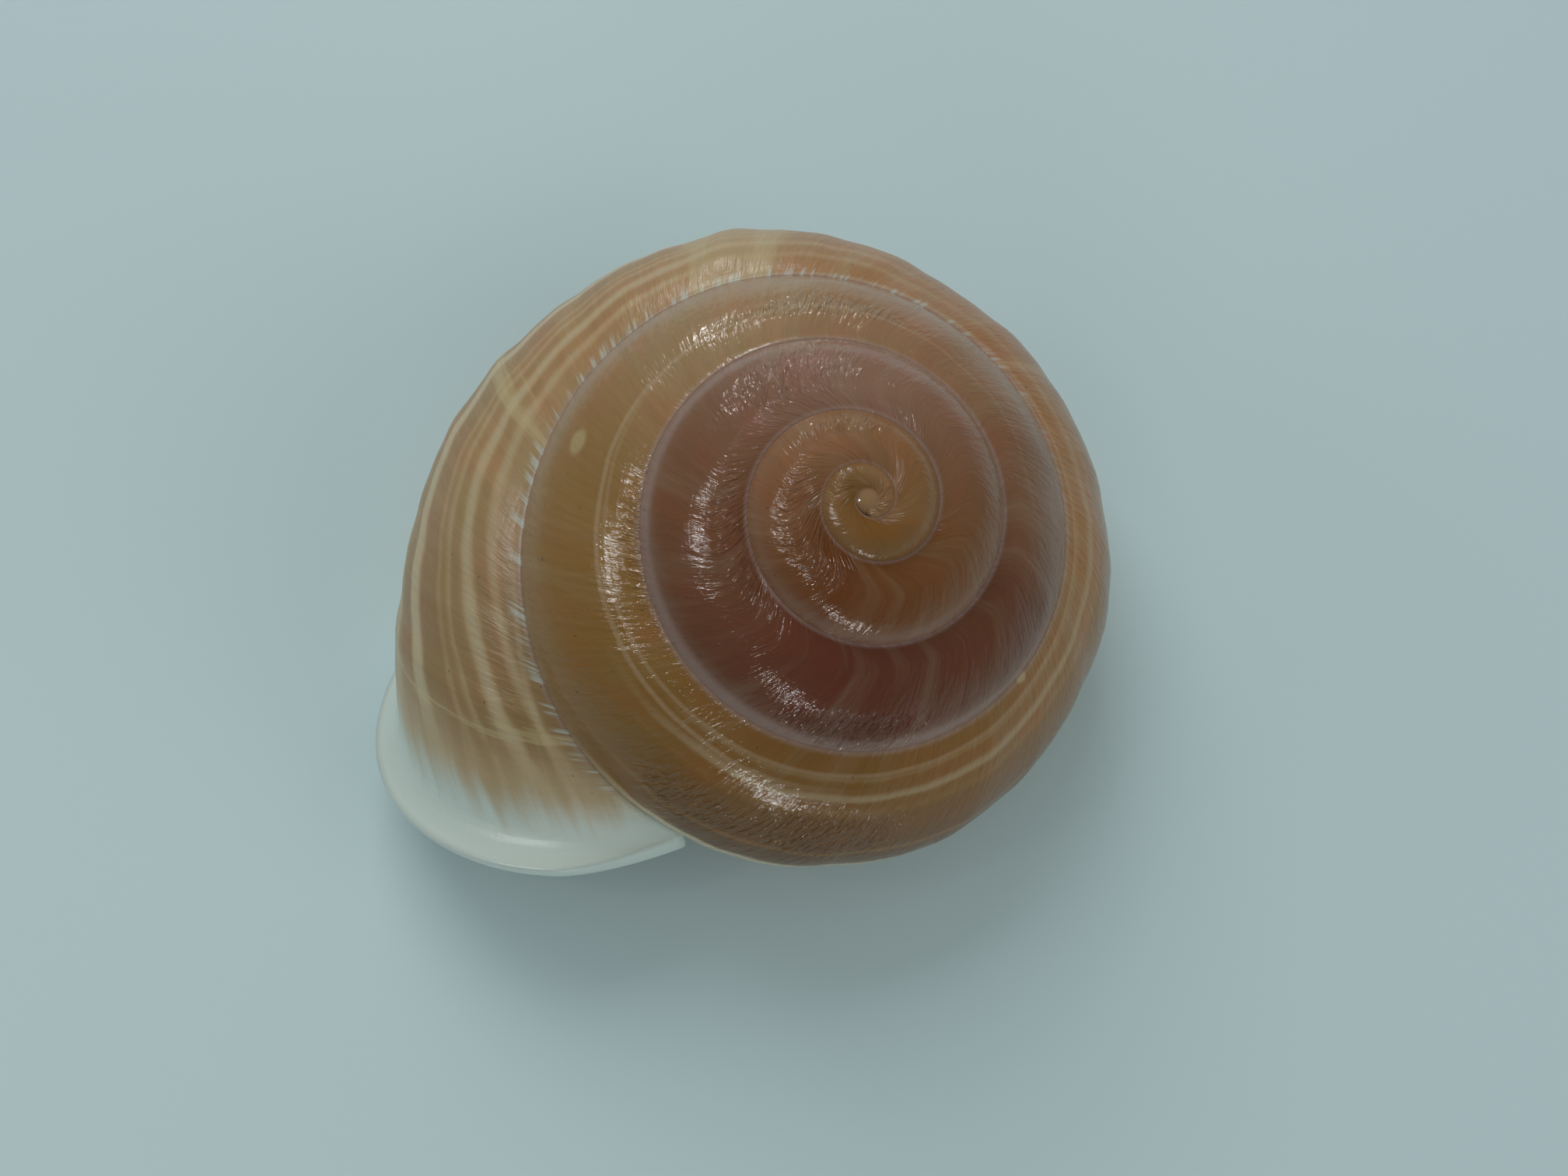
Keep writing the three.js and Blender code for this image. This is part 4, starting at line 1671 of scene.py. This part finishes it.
@dataclass(frozen=True)
class FloorFinish:
    """A plain pale floor."""

    colour: Colour = srgb(214, 238, 240)
    darker: Colour = (0.6, 0.62, 0.62)
    mottle: float = 0.06
    mottle_scale: float = 9.0
    roughness: float = 0.6

    def make(self) -> bpy.types.Material:
        """Builds the material: pale, with a very slight mottle.

        Returns:
            The material.
        """
        material = bpy.data.materials.new("pale_floor")
        g = Graph(material)
        shader = g.node("ShaderNodeBsdfPrincipled")
        spot = g.node("ShaderNodeTexCoord").outputs["Object"]
        share = g.times(g.noise(spot, scale=self.mottle_scale), self.mottle)
        g.put(shader.inputs["Base Color"], g.mix(share, self.colour, self.darker))
        shader.inputs["Roughness"].default_value = self.roughness
        output = g.node("ShaderNodeOutputMaterial")
        g.put(output.inputs["Surface"], shader.outputs[0])
        return material


# ---- studio -------------------------------------------------------------------------------------


class Role(Enum):
    """What a light is there for."""

    GLOW = "lights the scene and leaves no reflection"
    GLINT = "shows only as a reflection in the gloss"


@dataclass(frozen=True)
class SoftLight:
    """A square area light that looks at the shell, either for its light or for its reflection."""

    name: str
    role: Role
    place: tuple[float, float, float]
    size: float
    watts: float

    def make(self, target: Vector) -> bpy.types.Object:
        """Builds the light, aimed at target.

        Args:
            target: the place it looks at.
        Returns:
            The light.
        """
        lamp = bpy.data.lights.new(self.name, "AREA")
        lamp.size = self.size
        lamp.energy = self.watts
        light = bpy.data.objects.new(self.name, lamp)
        light.location = Vector(self.place)
        light.rotation_euler = (target - light.location).to_track_quat("-Z", "Y").to_euler()
        light.visible_glossy = self.role is Role.GLINT
        light.visible_diffuse = self.role is Role.GLOW
        bpy.context.scene.collection.objects.link(light)
        return light


@dataclass
class Studio:
    """Floor, soft lights, world and camera."""

    lights: tuple[SoftLight, ...] = (
        SoftLight("overhead", Role.GLOW, (-0.12, 0.32, 0.36), 0.34, 0.84),
        SoftLight("right_fill", Role.GLOW, (0.36, -0.16, 0.24), 0.30, 0.30),
        SoftLight("left_fill", Role.GLOW, (-0.40, -0.04, 0.20), 0.26, 0.10),
        SoftLight("front_fill", Role.GLOW, (-0.06, -0.40, 0.16), 0.20, 0.16),
        SoftLight("back_window", Role.GLINT, (-0.03, 0.42, 0.19), 0.04, 0.42),
        SoftLight("left_window", Role.GLINT, (-0.24, -0.06, 0.40), 0.035, 0.62),
        SoftLight("front_window", Role.GLINT, (0.03, -0.42, 0.015), 0.025, 0.22),
    )
    world: Colour = (0.88, 0.97, 1.0)
    world_strength: float = 0.24
    view_transform: str = "Standard"
    camera_place: tuple[float, float, float] = (0.002536, -0.045942, 0.126205)
    camera_forward: tuple[float, float, float] = (0.0, 0.34978, -0.93683)
    camera_roll: float = 0.03653
    base_right: tuple[float, float, float] = (0.99986, -0.01549, -0.00578)
    base_up: tuple[float, float, float] = (0.01653, 0.93670, 0.34973)
    lens: float = 46.25
    sensor: float = 36.0
    nearest: float = 0.005
    floor_side: float = 6.0

    def build(self, low: Vector, high: Vector) -> None:
        """Makes everything around the shell.

        Args:
            low: lowest corner of the part's box.
            high: highest corner of it.
        """
        scene = bpy.context.scene
        bpy.ops.mesh.primitive_plane_add(size=self.floor_side, location=(0, 0, low.z))
        floor = bpy.context.object
        floor.name = "floor"
        floor.data.materials.append(FloorFinish().make())
        target = (low + high) / 2
        for light in self.lights:
            light.make(target)
        world = bpy.data.worlds.new("studio")
        world.use_nodes = True
        background = world.node_tree.nodes["Background"]
        background.inputs[0].default_value = (*self.world, 1.0)
        background.inputs[1].default_value = self.world_strength
        scene.world = world
        scene.view_settings.view_transform = self.view_transform
        scene.camera = self.camera()

    def camera(self) -> bpy.types.Object:
        """The camera: forward, right and up as given, rolled about forward.

        Returns:
            The camera.
        """
        data = bpy.data.cameras.new("camera")
        data.lens = self.lens
        data.sensor_width = self.sensor
        data.clip_start = self.nearest
        camera = bpy.data.objects.new("camera", data)
        right, up, forward = Vector(self.base_right), Vector(self.base_up), Vector(self.camera_forward)
        c, s = math.cos(self.camera_roll), math.sin(self.camera_roll)
        x, y = right * c + up * s, up * c - right * s
        matrix = Matrix((x, y, -forward)).transposed().to_4x4()
        matrix.translation = Vector(self.camera_place)
        camera.matrix_world = matrix
        bpy.context.scene.collection.objects.link(camera)
        return camera


def main() -> None:
    """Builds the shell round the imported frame, dresses it and sets the studio up."""
    logging.basicConfig(level=logging.INFO, format="%(name)s: %(message)s")
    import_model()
    low, high = (Vector(corner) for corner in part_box("shell"))
    foot = np.array([(low.x + high.x) / 2, (low.y + high.y) / 2, low.z])
    surface = ShellSurface()
    surface.build()
    shell = surface.mesh("snail_shell", foot)
    shell.data.materials.append(ShellFinish().make())
    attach(shell, "root")
    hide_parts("shell")
    LOG.info("shell: %d points, %d faces", len(shell.data.vertices), len(shell.data.polygons))
    Studio().build(low, high)


if __name__ == "__main__":
    main()
